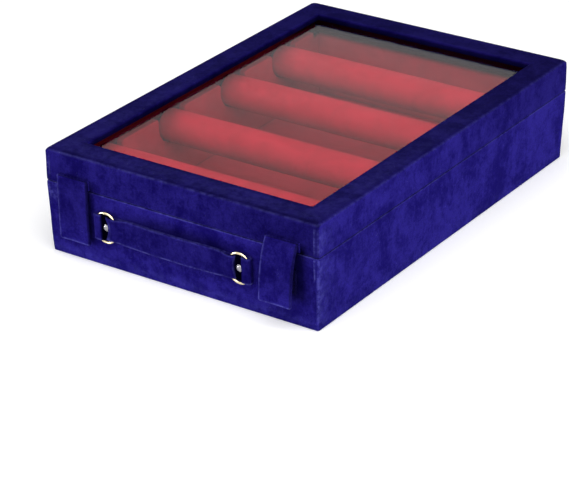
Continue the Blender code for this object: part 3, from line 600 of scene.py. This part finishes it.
def add_piece(name, points, faces, slot, smooth_angle=50.0, looks=()):
    """A new mesh object with its finish and, where given, the looks of each point."""
    mesh = bpy.data.meshes.new(name)
    mesh.from_pydata([tuple(p) for p in points], [], faces)
    mesh.validate()
    shape = bmesh.new()
    shape.from_mesh(mesh)
    bmesh.ops.recalc_face_normals(shape, faces=shape.faces)
    shape.to_mesh(mesh)
    shape.free()
    mesh.shade_smooth()
    mesh.set_sharp_from_angle(angle=math.radians(smooth_angle))
    for key, values in zip(LOOKS, zip(*looks)):
        mesh.attributes.new(key, "FLOAT", "POINT").data.foreach_set("value", values)
    mesh.materials.append(MATERIALS[slot])
    made = bpy.data.objects.new(name, mesh)
    bpy.context.scene.collection.objects.link(made)
    return made


def grid_faces(rows, columns, close_rows, close_columns):
    """Quads over a grid of rows by columns, wrapped round where it closes."""
    faces = []
    for row in range(rows if close_rows else rows - 1):
        here = row * columns
        below = (row + 1) % rows * columns
        for column in range(columns if close_columns else columns - 1):
            after = (column + 1) % columns
            faces.append((here + column, here + after, below + after, below + column))
    return faces


def tube_faces(rows, columns):
    """Quads round a tube of rows, with a face over each end."""
    last = rows * columns - 1
    caps = [tuple(range(columns)), tuple(range(last, last - columns, -1))]
    return grid_faces(rows, columns, False, True) + caps


def dress(piece, body, node):
    """Puts a new piece on the body it rides with and hides the solid it stands for."""
    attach(piece, body)
    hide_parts(node)


def wavy(place, *scales):
    """Smooth noise at a place, each of its three values at its own scale."""
    return noise.noise(Vector([value * scale for value, scale in zip(place, scales)]))


# Case


def side_shares(length, lapped):
    """Places along a side of the case's outline, as shares from one corner to the next."""
    straight = length - 2 * CORNER_RADIUS
    count = round(straight / SIDE_STEP)
    shares = [index / count for index in range(count + 1)]
    if lapped:
        for offset in LAP_OFFSETS:
            share = (LAP_FROM_CORNER - CORNER_RADIUS + offset) / straight
            shares += [share, 1 - share]
    return sorted(shares)


ACROSS_SHARES = side_shares(2 * HALF_WIDTH, True)
DEEP_SHARES = side_shares(2 * HALF_DEPTH, False)


def outline(half_x, half_y, radius):
    """A level loop, anticlockwise from the front left corner, with its outward directions."""
    corners = ((-1, -1, 180), (1, -1, 270), (1, 1, 0), (-1, 1, 90))
    middles = [Vector((x * (half_x - radius), y * (half_y - radius))) for x, y, _ in corners]
    points = []
    for number, (_, _, start) in enumerate(corners):
        for step in range(CORNER_STEPS + 1):
            angle = math.radians(start + 90 * step / CORNER_STEPS)
            outward = Vector((math.cos(angle), math.sin(angle)))
            points.append((middles[number] + outward * radius, outward, "corner", step / CORNER_STEPS))
        first = middles[number] + outward * radius
        last = middles[(number + 1) % 4] + outward * radius
        for share in (ACROSS_SHARES if number % 2 == 0 else DEEP_SHARES)[1:-1]:
            points.append((first.lerp(last, share), outward, "side", share))
    return points


def lap_height(point):
    """How far the lapping cloth stands out on the front and back, near an upright corner."""
    from_corner = HALF_WIDTH - abs(point.x)
    if abs(point.y) < HALF_DEPTH - CORNER_RADIUS or from_corner > LAP_FROM_CORNER + LAP_RIDGE:
        return 0.0
    edge = ease(LAP_FROM_CORNER + LAP_EDGE, LAP_FROM_CORNER - LAP_EDGE, from_corner)
    return LAP_HEIGHT * edge * math.exp((from_corner - LAP_FROM_CORNER) / LAP_FALL)


def wall_wear(place, height, outward, kind, share, lap):
    """How far a wall is rubbed on its upright corners, on the lapped cloth's ridge and in blotches."""
    side = int(place.x > 0)
    wear = CORNER_WEARS[side] * math.sin(math.pi * share) if kind == "corner" else 0.0
    if lap > 0 and abs(HALF_WIDTH - abs(place.x) - LAP_FROM_CORNER) < LAP_RIDGE:
        wear = max(wear, RIDGE_WEARS[side])
    below_seam = BASE_HEIGHT - LEFT_BLOTCH_HEIGHT < height < BASE_HEIGHT
    if outward.y < -0.5 and place.x < LEFT_BLOTCH_WIDTH - HALF_WIDTH and below_seam:
        spots = wavy((place.x, 4.0, height), LEFT_BLOTCH_SCALE, 1, LEFT_BLOTCH_SCALE)
        wear = max(wear, LEFT_BLOTCH_WEAR * (0.5 + 0.9 * spots))
    if outward.x > 0.9:
        spots = wavy((9.0, place.y, height), 1, RIGHT_BLOTCH_SCALE, RIGHT_BLOTCH_SCALE)
        near_front = math.exp(-(place.y + HALF_DEPTH) / RIGHT_BLOTCH_FALL)
        wear = max(wear, RIGHT_BLOTCH_WEAR * (0.5 + 0.5 * spots) * near_front)
    return wear


def face_tone_and_light(face, place, height, outward):
    """How much lighter, above 0, or darker, below 0, a face is made: lighter on the base front, most near
    its foot, as painted floor light; darker over the top towards the back, along the lid front, most to the
    right, and along the lid's right side towards the back.
    """
    if face == "top":
        return -0.6 * ease(*TOP_TONE_FADE, place.y)
    if outward.y < -0.5:
        if height < BASE_HEIGHT:
            near_foot = 1 - ease(*FOOT_LIGHT_FADE, height)
            return 0.5 - 0.3 * ease(*BASE_TONE_FADE, place.x) + 0.4 * near_foot
        return -0.50 - 0.7 * ease(*LID_TONE_FADE, place.x)
    if outward.x > 0.5:
        far = ease(*SIDE_TONE_FADE, place.y)
        return -0.9 * far if height > BASE_HEIGHT else 0.1 * far
    return 0.0


def beside_flap(place, height, flap_x, foot, top, reach):
    """How near a point of the front is to the right edge of a flap, from 0 to 1, for the painted shadow
    beside it.
    """
    from_flap = place.x - flap_x - FLAP_WIDTH / 2
    if from_flap <= -FLAP_WIDTH:
        return 0.0
    near = 1 - ease(0, reach, from_flap)
    near *= ease(foot - SHADOW_FADE, foot + SHADOW_FADE, height)
    return near * (1 - ease(top - SHADOW_FADE, top + SHADOW_FADE, height))


def above_strap(place, height):
    """How near a point of the front is to the upper edge of the strap, from 0 to 1, for the painted shadow
    above it.
    """
    over = height - HANDLE_Z - STRAP_SHADOW_FROM
    near = ease(-SHADOW_FADE, 0, over) * (1 - ease(*STRAP_SHADOW_FADE, over))
    from_middle = abs(place.x - HANDLE_X - STRAP_SHADOW_SHIFT) / STRAP_SHADOW_HALF
    return near * (1 - min(from_middle, 1.0) ** 3)


def painted_shadow(place, height, outward):
    """How dark the painted shadows of the flaps and the strap make the front."""
    if outward.y > -0.5:
        return 0.0
    left = beside_flap(place, height, LEFT_FLAP_X, *LEFT_FLAP_SHADOW)
    right = beside_flap(place, height, RIGHT_FLAP_X, *RIGHT_FLAP_SHADOW)
    return PAINTED_SHADOW_SHARE * max(left, right, above_strap(place, height))


# A level loop round the case: its half sizes, corner radius and height, what it lies on, wear, painted shade
Line = namedtuple("Line", "half_x half_y radius height face wear shade", defaults=(0.0, 0.0))


def shell(name, profile, body, node):
    """A cloth-covered shell through a closed profile of lines."""
    points = []
    looks = []
    for line in profile:
        height = line.height
        outer = line.face != "inside" and line.shade == 0
        for place, outward, kind, share in outline(line.half_x, line.half_y, line.radius):
            wave = noise.noise(Vector((place.x, place.y, height)) * BOARD_WAVE_SCALE)
            wave += 0.5 * noise.noise(Vector((place.y, height, place.x)) * RIPPLE_SCALE)
            point = Vector((place.x, place.y, height))
            wear_and_sheen = line.wear * (FRONT_WEAR if outward.y < -0.5 else SIDE_WEAR)
            if line.face == "wall":
                lap = lap_height(place)
                point += Vector((outward.x, outward.y, 0)) * (BOARD_WAVE * wave + lap)
                wear_and_sheen = max(wear_and_sheen, wall_wear(place, height, outward, kind, share, lap))
            elif line.face == "top":
                point.z += BOARD_WAVE * wave
                # Painted sheen over the top, fading towards the back
                wear_and_sheen = TOP_SHEEN * (1 - ease(*TOP_SHEEN_FADE, place.y))
            lined = line.face == "inside" and abs(outward.x) > 0.5
            if outer:
                # Painted shadows of the flaps and the strap
                shade = painted_shadow(place, height, outward)
            elif line.face == "inside":
                # Painted shade on inner walls that have no lining
                shade = 0.0 if lined else INSIDE_SHADE
            else:
                # Painted shade on the window's reveal, fading out near its front left corner
                from_corner = math.hypot(place.x + WINDOW_HALF_WIDTH, place.y + WINDOW_HALF_DEPTH)
                shade = line.shade * ease(*REVEAL_FADE, from_corner)
            # Lighter or darker by face, with painted floor light on the base front
            brushed = face_tone_and_light(line.face, place, height, outward) if outer else 0.0
            points.append(point)
            looks.append((wear_and_sheen, shade, brushed, float(lined)))
    faces = grid_faces(len(profile), len(points) // len(profile), True, True)
    piece = add_piece(name, points, faces, "blue_velvet", looks=looks)
    dress(piece, body, node)


def quarter(steps):
    """Angles from 0 to 90 degrees, with how much each lies on the rounding's crest."""
    for index in range(steps + 1):
        angle = math.radians(90) * index / steps
        yield angle, math.sin(2 * angle)


def rise(low, high):
    """Heights between two ends of a wall, without the ends."""
    count = max(round((high - low) / UPRIGHT_STEP), 1)
    return [low + (high - low) * index / count for index in range(1, count)]


def case_line(inset, radius, height, face, wear=0.0):
    return Line(HALF_WIDTH - inset, HALF_DEPTH - inset, radius, height, face, wear)


def window_line(outset, height, face, shade=0.0):
    half_x = WINDOW_HALF_WIDTH + outset
    half_y = WINDOW_HALF_DEPTH + outset
    return Line(half_x, half_y, WINDOW_CORNER_RADIUS + outset, height, face, 0.0, shade)


def inner_line(inset, height):
    return case_line(inset, INNER_RADIUS + WALL - inset, height, "inside")


def base_profile():
    """Round the turned foot, up the leaning wall, over the rim and down the inside."""
    lines = []
    for angle, crest in quarter(EDGE_STEPS):
        inset = FOOT_RADIUS * (1 - math.sin(angle))
        height = FOOT_RADIUS * (1 - math.cos(angle))
        lines.append(case_line(BASE_TAPER + inset, CORNER_RADIUS - inset, height, "edge", FOOT_WEAR * crest))
    rim = BASE_HEIGHT - RIM_RADIUS
    for height in rise(FOOT_RADIUS, rim) + [rim - RIM_WEAR_DEPTH]:
        inset = BASE_TAPER * (1 - (height - FOOT_RADIUS) / (rim - FOOT_RADIUS))
        wear = NEAR_FOOT_WEAR * math.exp(-height / NEAR_FOOT_FALL)
        lines.append(case_line(inset, CORNER_RADIUS, height, "wall", wear))
    for angle, crest in quarter(EDGE_STEPS):
        inset = RIM_RADIUS * (1 - math.cos(angle))
        height = rim + RIM_RADIUS * math.sin(angle)
        lines.append(case_line(inset, CORNER_RADIUS - inset, height, "edge", RIM_WEAR * crest))
    for angle, _ in quarter(INNER_EDGE_STEPS):
        inset = WALL - RIM_RADIUS * (1 - math.sin(angle))
        lines.append(inner_line(inset, rim + RIM_RADIUS * math.cos(angle)))
    lines.append(inner_line(WALL, 0))
    return lines


def lid_profile():
    """Round the rim, up the wall, over the top to the window, down its reveal and the inside."""
    lines = []
    rim = LID_RIM + RIM_RADIUS
    for angle, crest in quarter(EDGE_STEPS):
        inset = RIM_RADIUS * (1 - math.sin(angle))
        height = rim - RIM_RADIUS * math.cos(angle)
        lines.append(case_line(inset, CORNER_RADIUS - inset, height, "edge", LID_RIM_WEAR * crest))
    shoulder = CASE_TOP - TOP_EDGE_RADIUS
    for height in rise(rim, shoulder):
        lines.append(case_line(0, CORNER_RADIUS, height, "wall"))
    for angle, crest in quarter(TOP_EDGE_STEPS):
        inset = TOP_EDGE_RADIUS * (1 - math.cos(angle))
        height = shoulder + TOP_EDGE_RADIUS * math.sin(angle)
        lines.append(case_line(inset, CORNER_RADIUS + inset, height, "edge", TOP_EDGE_WEAR * crest**4))
    outer = case_line(TOP_EDGE_RADIUS, CORNER_RADIUS + TOP_EDGE_RADIUS, CASE_TOP, "top")
    inner = window_line(WINDOW_EDGE_RADIUS, CASE_TOP, "top")
    for share in TOP_STEP_SHARES:
        mixed = [a + (b - a) * share for a, b in zip(outer[:4], inner[:4])]
        lines.append(Line(*mixed, "top"))
    for angle, _ in quarter(EDGE_STEPS):
        outset = WINDOW_EDGE_RADIUS * (1 - math.sin(angle))
        height = CASE_TOP - WINDOW_EDGE_RADIUS * (1 - math.cos(angle))
        lines.append(window_line(outset, height, "edge", REVEAL_EDGE_SHADE * math.sin(angle) ** 2))
    lines.append(window_line(0, FRAME_UNDERSIDE, "edge", REVEAL_SHADE))
    lines.append(inner_line(WALL, FRAME_UNDERSIDE))
    for angle, _ in quarter(INNER_EDGE_STEPS):
        inset = WALL - RIM_RADIUS * (1 - math.cos(angle))
        lines.append(inner_line(inset, rim - RIM_RADIUS * math.sin(angle)))
    return lines


shell("lid_cloth", lid_profile(), "lid", "lid_shell")
shell("base_cloth", base_profile(), "base", "base_walls")


# Rolls


def roll_profile():
    """Places along a roll's cover and its radii there, tucked in over the ends of its core."""
    straight = ROLL_HALF_LENGTH - ROLL_END_RADIUS
    end = [
        (TUCK_REACH - ROLL_HALF_LENGTH, ROLL_CORE_RADIUS + TUCK_END_LIFT),
        (-ROLL_HALF_LENGTH, ROLL_CORE_RADIUS + TUCK_LIFT),
    ]
    for angle, _ in quarter(ROLL_END_STEPS):
        radius = ROLL_RADIUS - ROLL_END_DRAW - ROLL_END_RADIUS * (1 - math.sin(angle))
        end.append((-straight - ROLL_END_RADIUS * math.cos(angle), radius))
    body = []
    for index in range(1, ROLL_ROWS):
        along = -straight + 2 * straight * index / ROLL_ROWS
        body.append((along, ROLL_RADIUS - ROLL_END_DRAW * (abs(along) / ROLL_HALF_LENGTH) ** 6))
    return end + body + [(-along, radius) for along, radius in reversed(end)]


def cover_radius(number, along, radius, angle):
    """A cover's radius at a point: lumps of padding, pleats at its ends, a seam below."""
    inner = ease(ROLL_HALF_LENGTH, ROLL_HALF_LENGTH - ROLL_TIED_REACH, abs(along))
    key = Vector((along * LUMP_SCALE + 17.3 * number, 1.3 * math.cos(angle), 1.3 * math.sin(angle)))
    lump = LUMP_HEIGHT * noise.noise(key) * inner
    pleat = PLEAT_HEIGHT * math.sin(angle * PLEAT_COUNT + 2.5 * noise.noise(key * 2)) * (1 - inner)
    from_seam = abs((angle + math.pi / 2 + math.pi) % (2 * math.pi) - math.pi)
    ridge = SEAM_RIDGE * math.exp(-(((from_seam - 0.05) / 0.022) ** 2))
    groove = SEAM_DEPTH * math.exp(-((from_seam / 0.02) ** 2))
    return radius - ROLL_INSET + lump + pleat + (ridge - groove) * inner


def roll_cover(number):
    """A padded velvet cover, closed along a seam below, a little uneven under the hand."""
    low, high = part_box(f"roll_{number}_cover")
    middle_y = (low.y + high.y) / 2
    middle_z = (low.z + high.z) / 2
    rows = roll_profile()
    points = []
    for along, radius in rows:
        for column in range(ROLL_COLUMNS):
            angle = 2 * math.pi * column / ROLL_COLUMNS
            size = cover_radius(number, along, radius, angle)
            points.append((along, middle_y + size * math.cos(angle), middle_z + size * math.sin(angle)))
    faces = grid_faces(len(rows), ROLL_COLUMNS, False, True)
    return add_piece(f"roll_{number}_padding", points, faces, "roll_velvet")


def swell(pieces):
    """Lets slack covers fill out over their padding, with their ends tied, and keeps that shape."""
    for piece in pieces:
        count = len(piece.data.vertices)
        tied = list(range(3 * ROLL_COLUMNS)) + list(range(count - 3 * ROLL_COLUMNS, count))
        piece.vertex_groups.new(name="tied").add(tied, 1.0, "REPLACE")
        cloth = piece.modifiers.new("swell", "CLOTH")
        cloth.settings.vertex_group_mass = "tied"
        cloth.settings.use_pressure = True
        cloth.settings.uniform_pressure_force = SWELL_PRESSURE
        cloth.settings.effector_weights.gravity = 0.0
        cloth.settings.tension_stiffness = SWELL_STIFFNESS
        cloth.settings.compression_stiffness = SWELL_STIFFNESS
        cloth.settings.shrink_min = -SWELL_SLACK_SHARE
        cloth.point_cache.frame_start = 1
        cloth.point_cache.frame_end = SWELL_FRAMES
    for frame_number in range(1, SWELL_FRAMES + 1):
        bpy.context.scene.frame_set(frame_number)
    graph = bpy.context.evaluated_depsgraph_get()
    shapes = [[vertex.co.copy() for vertex in piece.evaluated_get(graph).data.vertices] for piece in pieces]
    for piece, shape in zip(pieces, shapes):
        piece.modifiers.clear()
        piece.vertex_groups.clear()
        for vertex, place in zip(piece.data.vertices, shape):
            move = place - vertex.co
            if move.length > SWELL_CAP:
                move *= SWELL_CAP / move.length
            vertex.co += move
        smooth_and_refine(piece)
    bpy.context.scene.frame_set(1)


def smooth_and_refine(piece):
    """Takes the sharpest creases off a simulated cover and divides its faces once."""
    relax = piece.modifiers.new("relax", "SMOOTH")
    relax.factor = 0.5
    relax.iterations = 3
    finer = piece.modifiers.new("finer", "SUBSURF")
    finer.levels = 1
    finer.render_levels = 1
    graph = bpy.context.evaluated_depsgraph_get()
    refined = bpy.data.meshes.new_from_object(piece.evaluated_get(graph))
    piece.modifiers.clear()
    piece.data = refined


covers = [roll_cover(number) for number in range(1, 5)]
swell(covers)
for number, cover in enumerate(covers, 1):
    dress(cover, f"roll_{number}", f"roll_{number}_cover")


# Closing flaps


def section(half_width, half_thickness, edge, flat_steps, round_steps):
    """A flat section with rounded edges, as (across, through, how near an edge) points."""
    points = []
    flat = half_width - edge
    for side in (1, -1):
        for index in range(flat_steps + 1):
            across = side * (flat - 2 * flat * index / flat_steps)
            near = max(0.0, 1 - (flat - abs(across)) / NEAR_EDGE)
            points.append((across, side * half_thickness, near))
        for index in range(1, round_steps):
            angle = math.pi * index / round_steps
            across = side * (-flat - edge * math.sin(angle))
            points.append((across, side * half_thickness * math.cos(angle), 1.0))
    return points


def flap_middle(flap_x, drop, stand_off, lean):
    """A point of a flap's middle line, by how far it hangs below the fold."""
    below = max(drop, 0.0)
    out = stand_off * (1 - math.exp(-below / FLAP_BEND))
    return Vector((flap_x, FOLD_Y + below * lean - out, FOLD_Z - drop))


def flap_drops(last):
    """Stations down a flap, as (drop, half thickness, wear): rolled top, straight, rounded corners."""
    half = FLAP_THICKNESS / 2
    drops = []
    turns = [angle for angle, _ in quarter(6)]
    for angle in turns[1:]:
        drops.append((-half * math.cos(angle), half * math.sin(angle), 0.0))
    drops += [(last * index / 40, half, 0.0) for index in range(1, 41)]
    for angle in turns[1:-1]:
        thick = half * (1 + math.cos(angle)) / 2
        drops.append((last + FLAP_CORNER_RADIUS * math.sin(angle), thick, 0.75 * math.sin(angle)))
    return drops


def flap(side_name, flap_x, full_drop, stand_off, lean):
    """A padded flap with a rolled top, soft edges and a slight curl towards its free end."""
    across = Vector((1, 0, 0))
    last = full_drop - FLAP_CORNER_RADIUS
    drops = flap_drops(last)
    points = []
    looks = []
    for number, (drop, thick, wear) in enumerate(drops):
        below = max(drop, 0.0)
        slope = lean - stand_off / FLAP_BEND * math.exp(-below / FLAP_BEND)
        along = Vector((0, slope, -1)).normalized() if drop > 0 else Vector((0, 0, -1))
        through = along.cross(across)
        past = max(drop - last, 0) / FLAP_CORNER_RADIUS
        narrowing = FLAP_CORNER_RADIUS * (1 - math.sqrt(max(1 - past**2, 0)))
        middle = flap_middle(flap_x, drop, stand_off, lean)
        share = below / full_drop
        # Darker towards the top and lighter towards the free end
        brushed = ease(0.5, 0.95, number / len(drops)) - 0.5
        for wide, deep, near in section(FLAP_WIDTH / 2 - narrowing, thick, FLAP_EDGE, 22, 7):
            curl = FLAP_CURL * (wide / (FLAP_WIDTH / 2)) ** 2 * share
            wave = FLAP_WAVE * wavy((wide, below, flap_x), *FLAP_WAVE_SCALES)
            edge_wave = FLAP_EDGE_WAVE * wavy((below, flap_x, 3.0), *FLAP_EDGE_SCALES) * share
            bent = Vector((edge_wave, -curl - abs(wave) * min(share * 4, 1.0), 0))
            points.append(middle + across * wide + through * deep + bent)
            # Edges rubbed lighter, far more on the left than on the right, and painted shade on the right
            # rounded edge
            wear_and_sheen = max((0.08 if wide > 0 else 0.42) * near, wear)
            looks.append((wear_and_sheen, 0.55 * float(near >= 1.0 and wide > 0), brushed))
    faces = tube_faces(len(drops), len(points) // len(drops))
    piece = add_piece(f"flap_{side_name}_cloth", points, faces, "blue_velvet", 65.0, looks)
    dress(piece, f"{side_name}_flap", f"flap_{side_name}")


flap("left", LEFT_FLAP_X, LEFT_FLAP_DROP, LEFT_FLAP_STAND_OFF, math.tan(FACE_TILT))
flap("right", RIGHT_FLAP_X, RIGHT_FLAP_DROP, RIGHT_FLAP_STAND_OFF, 0.0)


# Carry strap, tabs, rings and rivets


def in_face(points):
    """Turns points of the front face's own frame into the case's frame."""
    matrix = Matrix.Translation((HANDLE_X, HANDLE_Y, HANDLE_Z)) @ Matrix.Rotation(FACE_TILT, 4, "X")
    return [matrix @ Vector(point) for point in points]


def ribbon(name, path, half_width_at, closed, body, node, after=None, shade_at=None):
    """A strip of cloth along a path in the face's frame, (x, y) points; it stands LAYER thick."""
    count = len(path)
    points = []
    looks = []
    for index, (x, y) in enumerate(path):
        before = Vector(path[index - 1] if closed or index else path[index])
        ahead = Vector(path[(index + 1) % count] if closed or index < count - 1 else path[index])
        along = (ahead - before).normalized()
        through = Vector((along.y, -along.x))
        half_width = half_width_at(x)
        at_end = 0.0 if closed or 1 < index < count - 2 else 0.5
        turned = 0.35 if closed and abs(x) > STRAP_SPAN + TURNED_FROM else 0.0
        for wide, deep, near in section(half_width, LAYER / 2, CLOTH_EDGE, 16, 5):
            point = Vector((*(Vector((x, y)) + through * deep), wide))
            # Edges rubbed lighter, more on the lower one; the cloth darker than the case by a set share,
            # with painted shade where given
            wear_and_sheen = max((0.22 if wide > 0 else 0.62) * near, at_end, turned)
            looks.append((wear_and_sheen, shade_at(point) if shade_at else 0.0, -0.6))
            points.append(after(point) if after else point)
    columns = len(points) // count
    faces = grid_faces(count, columns, True, True) if closed else tube_faces(count, columns)
    piece = add_piece(name, in_face(points), faces, "blue_velvet", 65.0, looks)
    dress(piece, body, node)


def bow(along):
    """How far the strap stands off the bars' plane, by its place along them."""
    inside = min(abs(along) / STRAP_SPAN, 1.0)
    return STRAP_BOW * (1 - inside**2) ** 2


def strap_turn(slack, bulge):
    """The strap's loop round a ring's bar, on the right, from its front layer to its back layer."""
    radius = LOOP_RADIUS - LAYER / 2
    spreads = []
    for share in TURN_SHARES:
        spread = LAYER / 2 + (radius - LAYER / 2) * ease(0, 1, share)
        spreads.append((STRAP_SPAN - STRAP_LOOP_LENGTH * (1 - share), spread))
    turn = [(along, -BAR_OFFSET - bow(along) - spread) for along, spread in spreads]
    for index in range(13):
        angle = math.radians(-90 + 180 * index / 12)
        out = radius * math.cos(angle) + bulge * math.cos(angle) * (1 - math.sin(angle)) / 2
        turn.append((STRAP_SPAN + slack + out, -BAR_OFFSET + radius * math.sin(angle)))
    turn += [(along, -BAR_OFFSET - bow(along) + spread) for along, spread in reversed(spreads)]
    return turn


def strap_path():
    """Front layer from left to right, round the right bar, back behind and round the left bar."""
    reach = STRAP_SPAN - STRAP_LOOP_LENGTH
    front = []
    for index in range(61):
        along = -reach * math.cos(math.pi * index / 60)
        front.append((along, -BAR_OFFSET - bow(along) - LAYER / 2))
    back = [(-x, y + LAYER) for x, y in front]
    left = [(-x, y) for x, y in reversed(strap_turn(LEFT_SLACK, LOOP_BULGE))]
    return front + strap_turn(RIGHT_SLACK, 0) + back + left


def strap_half_width(along):
    near_end = ease(STRAP_SPAN - STRAP_NARROWS_OVER, STRAP_SPAN, abs(along))
    return STRAP_HALF_WIDTH - STRAP_NARROWING * near_end


def strap_shape(point):
    """Draws the loops out to follow the rings' curve, and makes the strap a little uneven."""
    past = abs(point.x) - STRAP_SPAN
    if past > 0:
        share = (point.z / LOOP_STRETCH_HEIGHT) ** 2 * min(past / LOOP_STRETCH_OVER, 1.0)
        point.x += math.copysign(LOOP_STRETCH * share, point.x)
    wave = wavy((point.x, point.z, 5.0), *STRAP_WAVE_SCALES)
    point.y -= STRAP_WAVE * wave * min(max(-past, 0) / STRAP_WAVE_RISE, 1.0)
    point.z += STRAP_EDGE_WAVE * wavy((point.x, 2.0, 9.0), *STRAP_EDGE_SCALES)
    return point


def tab_path(side):
    """From the tail's end behind, round the ring's outer bar, and back over to the tail's end."""
    radius = LOOP_RADIUS - LAYER / 2
    low = TAB_GAP + LAYER / 2
    top = BAR_OFFSET + radius
    tail_level = TAB_GAP + LAYER * 1.5 + TAB_LAYER_GAP
    path = [(TAB_TAIL - TAB_TAIL * index / 8, low) for index in range(9)]
    for index in range(1, 12):
        angle = math.radians(90 + 180 * index / 12)
        path.append((TAB_LOOP_REACH * math.cos(angle), BAR_OFFSET - radius * math.sin(angle)))
    for index in range(29):
        along = TAB_TAIL * index / 28
        path.append((along, top + (tail_level - top) * ease(*TAB_FALL, along)))
    return [(side * (along - BAR_SPAN), -level) for along, level in path]


def tab(side_name, side):
    """A tab of cloth round the ring's outer bar; its tail lies in the slot beside the strap, darkened with
    painted shade.
    """
    def tail_shade(point):
        return 0.85 * ease(*TAB_SHADE_FADE, side * point.x + BAR_SPAN)

    def half_width(along):
        return TAB_HALF_WIDTH

    name = f"tab_{side_name}_cloth"
    node = f"handle_tab_{side_name}"
    ribbon(name, tab_path(side), half_width, False, "base", node, shade_at=tail_shade)


def ring(side_name, side):
    """An oval wire ring, finely rounded."""
    around = 20
    points = []
    corner_x = RING_HALF_WIDTH - RING_BEND_RADIUS
    corner_z = RING_HALF_HEIGHT - RING_BEND_RADIUS
    centre = Vector((side * (RING_HALF_WIDTH - BAR_SPAN), -BAR_OFFSET, 0))
    for side_x, side_z, start in ((1, 1, 0), (-1, 1, 90), (-1, -1, 180), (1, -1, 270)):
        for step in range(17):
            angle = math.radians(start + 90 * step / 16)
            outward = Vector((math.cos(angle), 0, math.sin(angle)))
            middle = Vector((side_x * corner_x, 0, side_z * corner_z)) + outward * RING_BEND_RADIUS + centre
            for turn in range(around):
                spin = 2 * math.pi * turn / around
                off = outward * math.cos(spin) + Vector((0, math.sin(spin), 0))
                points.append(middle + off * WIRE_RADIUS)
    faces = grid_faces(len(points) // around, around, True, True)
    piece = add_piece(f"ring_{side_name}_wire", in_face(points), faces, "brass")
    dress(piece, f"{side_name}_ring", f"ring_{side_name}")


def rivet(side_name, side):
    """A domed rivet head over a thin rim, with its shank behind."""
    around = 40
    seat = TAIL_TOP + RIVET_LIFT
    dome_foot = seat + RIVET_RIM_HEIGHT
    profile = [
        (RIVET_SHANK_RADIUS, -RIVET_SHANK_DEPTH),
        (RIVET_SHANK_RADIUS, seat),
        (RIVET_RADIUS + RIVET_RIM_FOOT, seat),
        (RIVET_RADIUS + RIVET_RIM, seat + RIVET_RIM),
    ]
    for index in range(9):
        angle = math.radians(84) * index / 8
        level = dome_foot + (RIVET_HEIGHT - RIVET_RIM_HEIGHT) * math.sin(angle)
        profile.append((RIVET_RADIUS * math.cos(angle), level))
    points = []
    for radius, level in profile:
        for turn in range(around):
            spin = 2 * math.pi * turn / around
            x = side * (RING_HALF_WIDTH - BAR_SPAN) + radius * math.cos(spin)
            points.append((x, -level, radius * math.sin(spin)))
    faces = tube_faces(len(profile), around)
    piece = add_piece(f"rivet_{side_name}_head", in_face(points), faces, "bright_steel")
    dress(piece, "base", f"rivet_{side_name}")


ribbon("strap_cloth", strap_path(), strap_half_width, True, "strap", "carry_strap", after=strap_shape)
for side_name, side in SIDES:
    tab(side_name, side)
for side_name, side in SIDES:
    ring(side_name, side)
    rivet(side_name, side)


# Finishes of the solids that stay as they are

SLOT_OF_NODE = {entry["node"]: entry["material_slot"] for entry in frame["record"]["subparts"]}
for name, node in NODES.items():
    if name in SLOT_OF_NODE and not node.hide_render:
        for index in range(max(len(node.material_slots), 1)):
            node.material_slots[index].material = MATERIALS[SLOT_OF_NODE[name]]


# Camera, floor and light


def add_camera():
    data = bpy.data.cameras.new("camera")
    data.lens = CAMERA_LENS
    data.sensor_width = CAMERA_SENSOR
    data.sensor_fit = "HORIZONTAL"
    data.clip_start = CAMERA_NEAR
    data.clip_end = CAMERA_FAR
    camera = bpy.data.objects.new("camera", data)
    forward = Vector(CAMERA_FORWARD).normalized()
    right = forward.cross(Vector(CAMERA_UP)).normalized()
    up = right.cross(forward)
    turn = Matrix((right, up, -forward)).transposed().to_4x4()
    camera.matrix_world = Matrix.Translation(CAMERA_PLACE) @ turn
    bpy.context.scene.collection.objects.link(camera)
    bpy.context.scene.camera = camera


def add_floor():
    """A pale floor that keeps the box's shadow and looks white where nothing shades it."""
    bpy.ops.mesh.primitive_plane_add(size=FLOOR_SIZE, location=(0, 0, -FLOOR_DROP))
    floor = bpy.context.object
    floor.name = "floor"
    s = new_finish("floor")
    s.set(Base_Color=(0.92, 0.92, 0.92, 1.0), Roughness=0.9, Specular_IOR_Level=0.1)
    seen = s.add("ShaderNodeLightPath").outputs["Is Camera Ray"]
    s.set(Emission_Color=(1.0, 1.0, 1.0, 1.0), Emission_Strength=s.times(seen, FLOOR_GLOW))
    floor.data.materials.append(s.owner)


def add_lamp(name, place, size, power):
    data = bpy.data.lights.new(name, "AREA")
    data.shape = "RECTANGLE"
    data.size, data.size_y = size
    data.energy = power
    lamp = bpy.data.objects.new(name, data)
    lamp.location = place
    lamp.rotation_euler = (Vector(LAMP_AIM) - Vector(place)).to_track_quat("-Z", "Y").to_euler()
    bpy.context.scene.collection.objects.link(lamp)


def add_world():
    """White where the camera, glossy or clear surfaces see it, and a soft grey as light."""
    s = Shader(bpy.data.worlds.new("studio"), "Background")
    rays = s.add("ShaderNodeLightPath").outputs
    seen = rays["Is Camera Ray"]
    for name in ("Is Glossy Ray", "Is Transmission Ray"):
        seen = s.math("MAXIMUM", seen, rays[name])
    s.set(Color=(1.0, 1.0, 1.0, 1.0), Strength=s.range(seen, 0.0, 1.0, WORLD_LIGHT, 1.0))
    bpy.context.scene.world = s.owner


add_camera()
add_floor()
for lamp in LAMPS:
    add_lamp(*lamp)
add_world()

bpy.context.scene.view_settings.view_transform = "Standard"
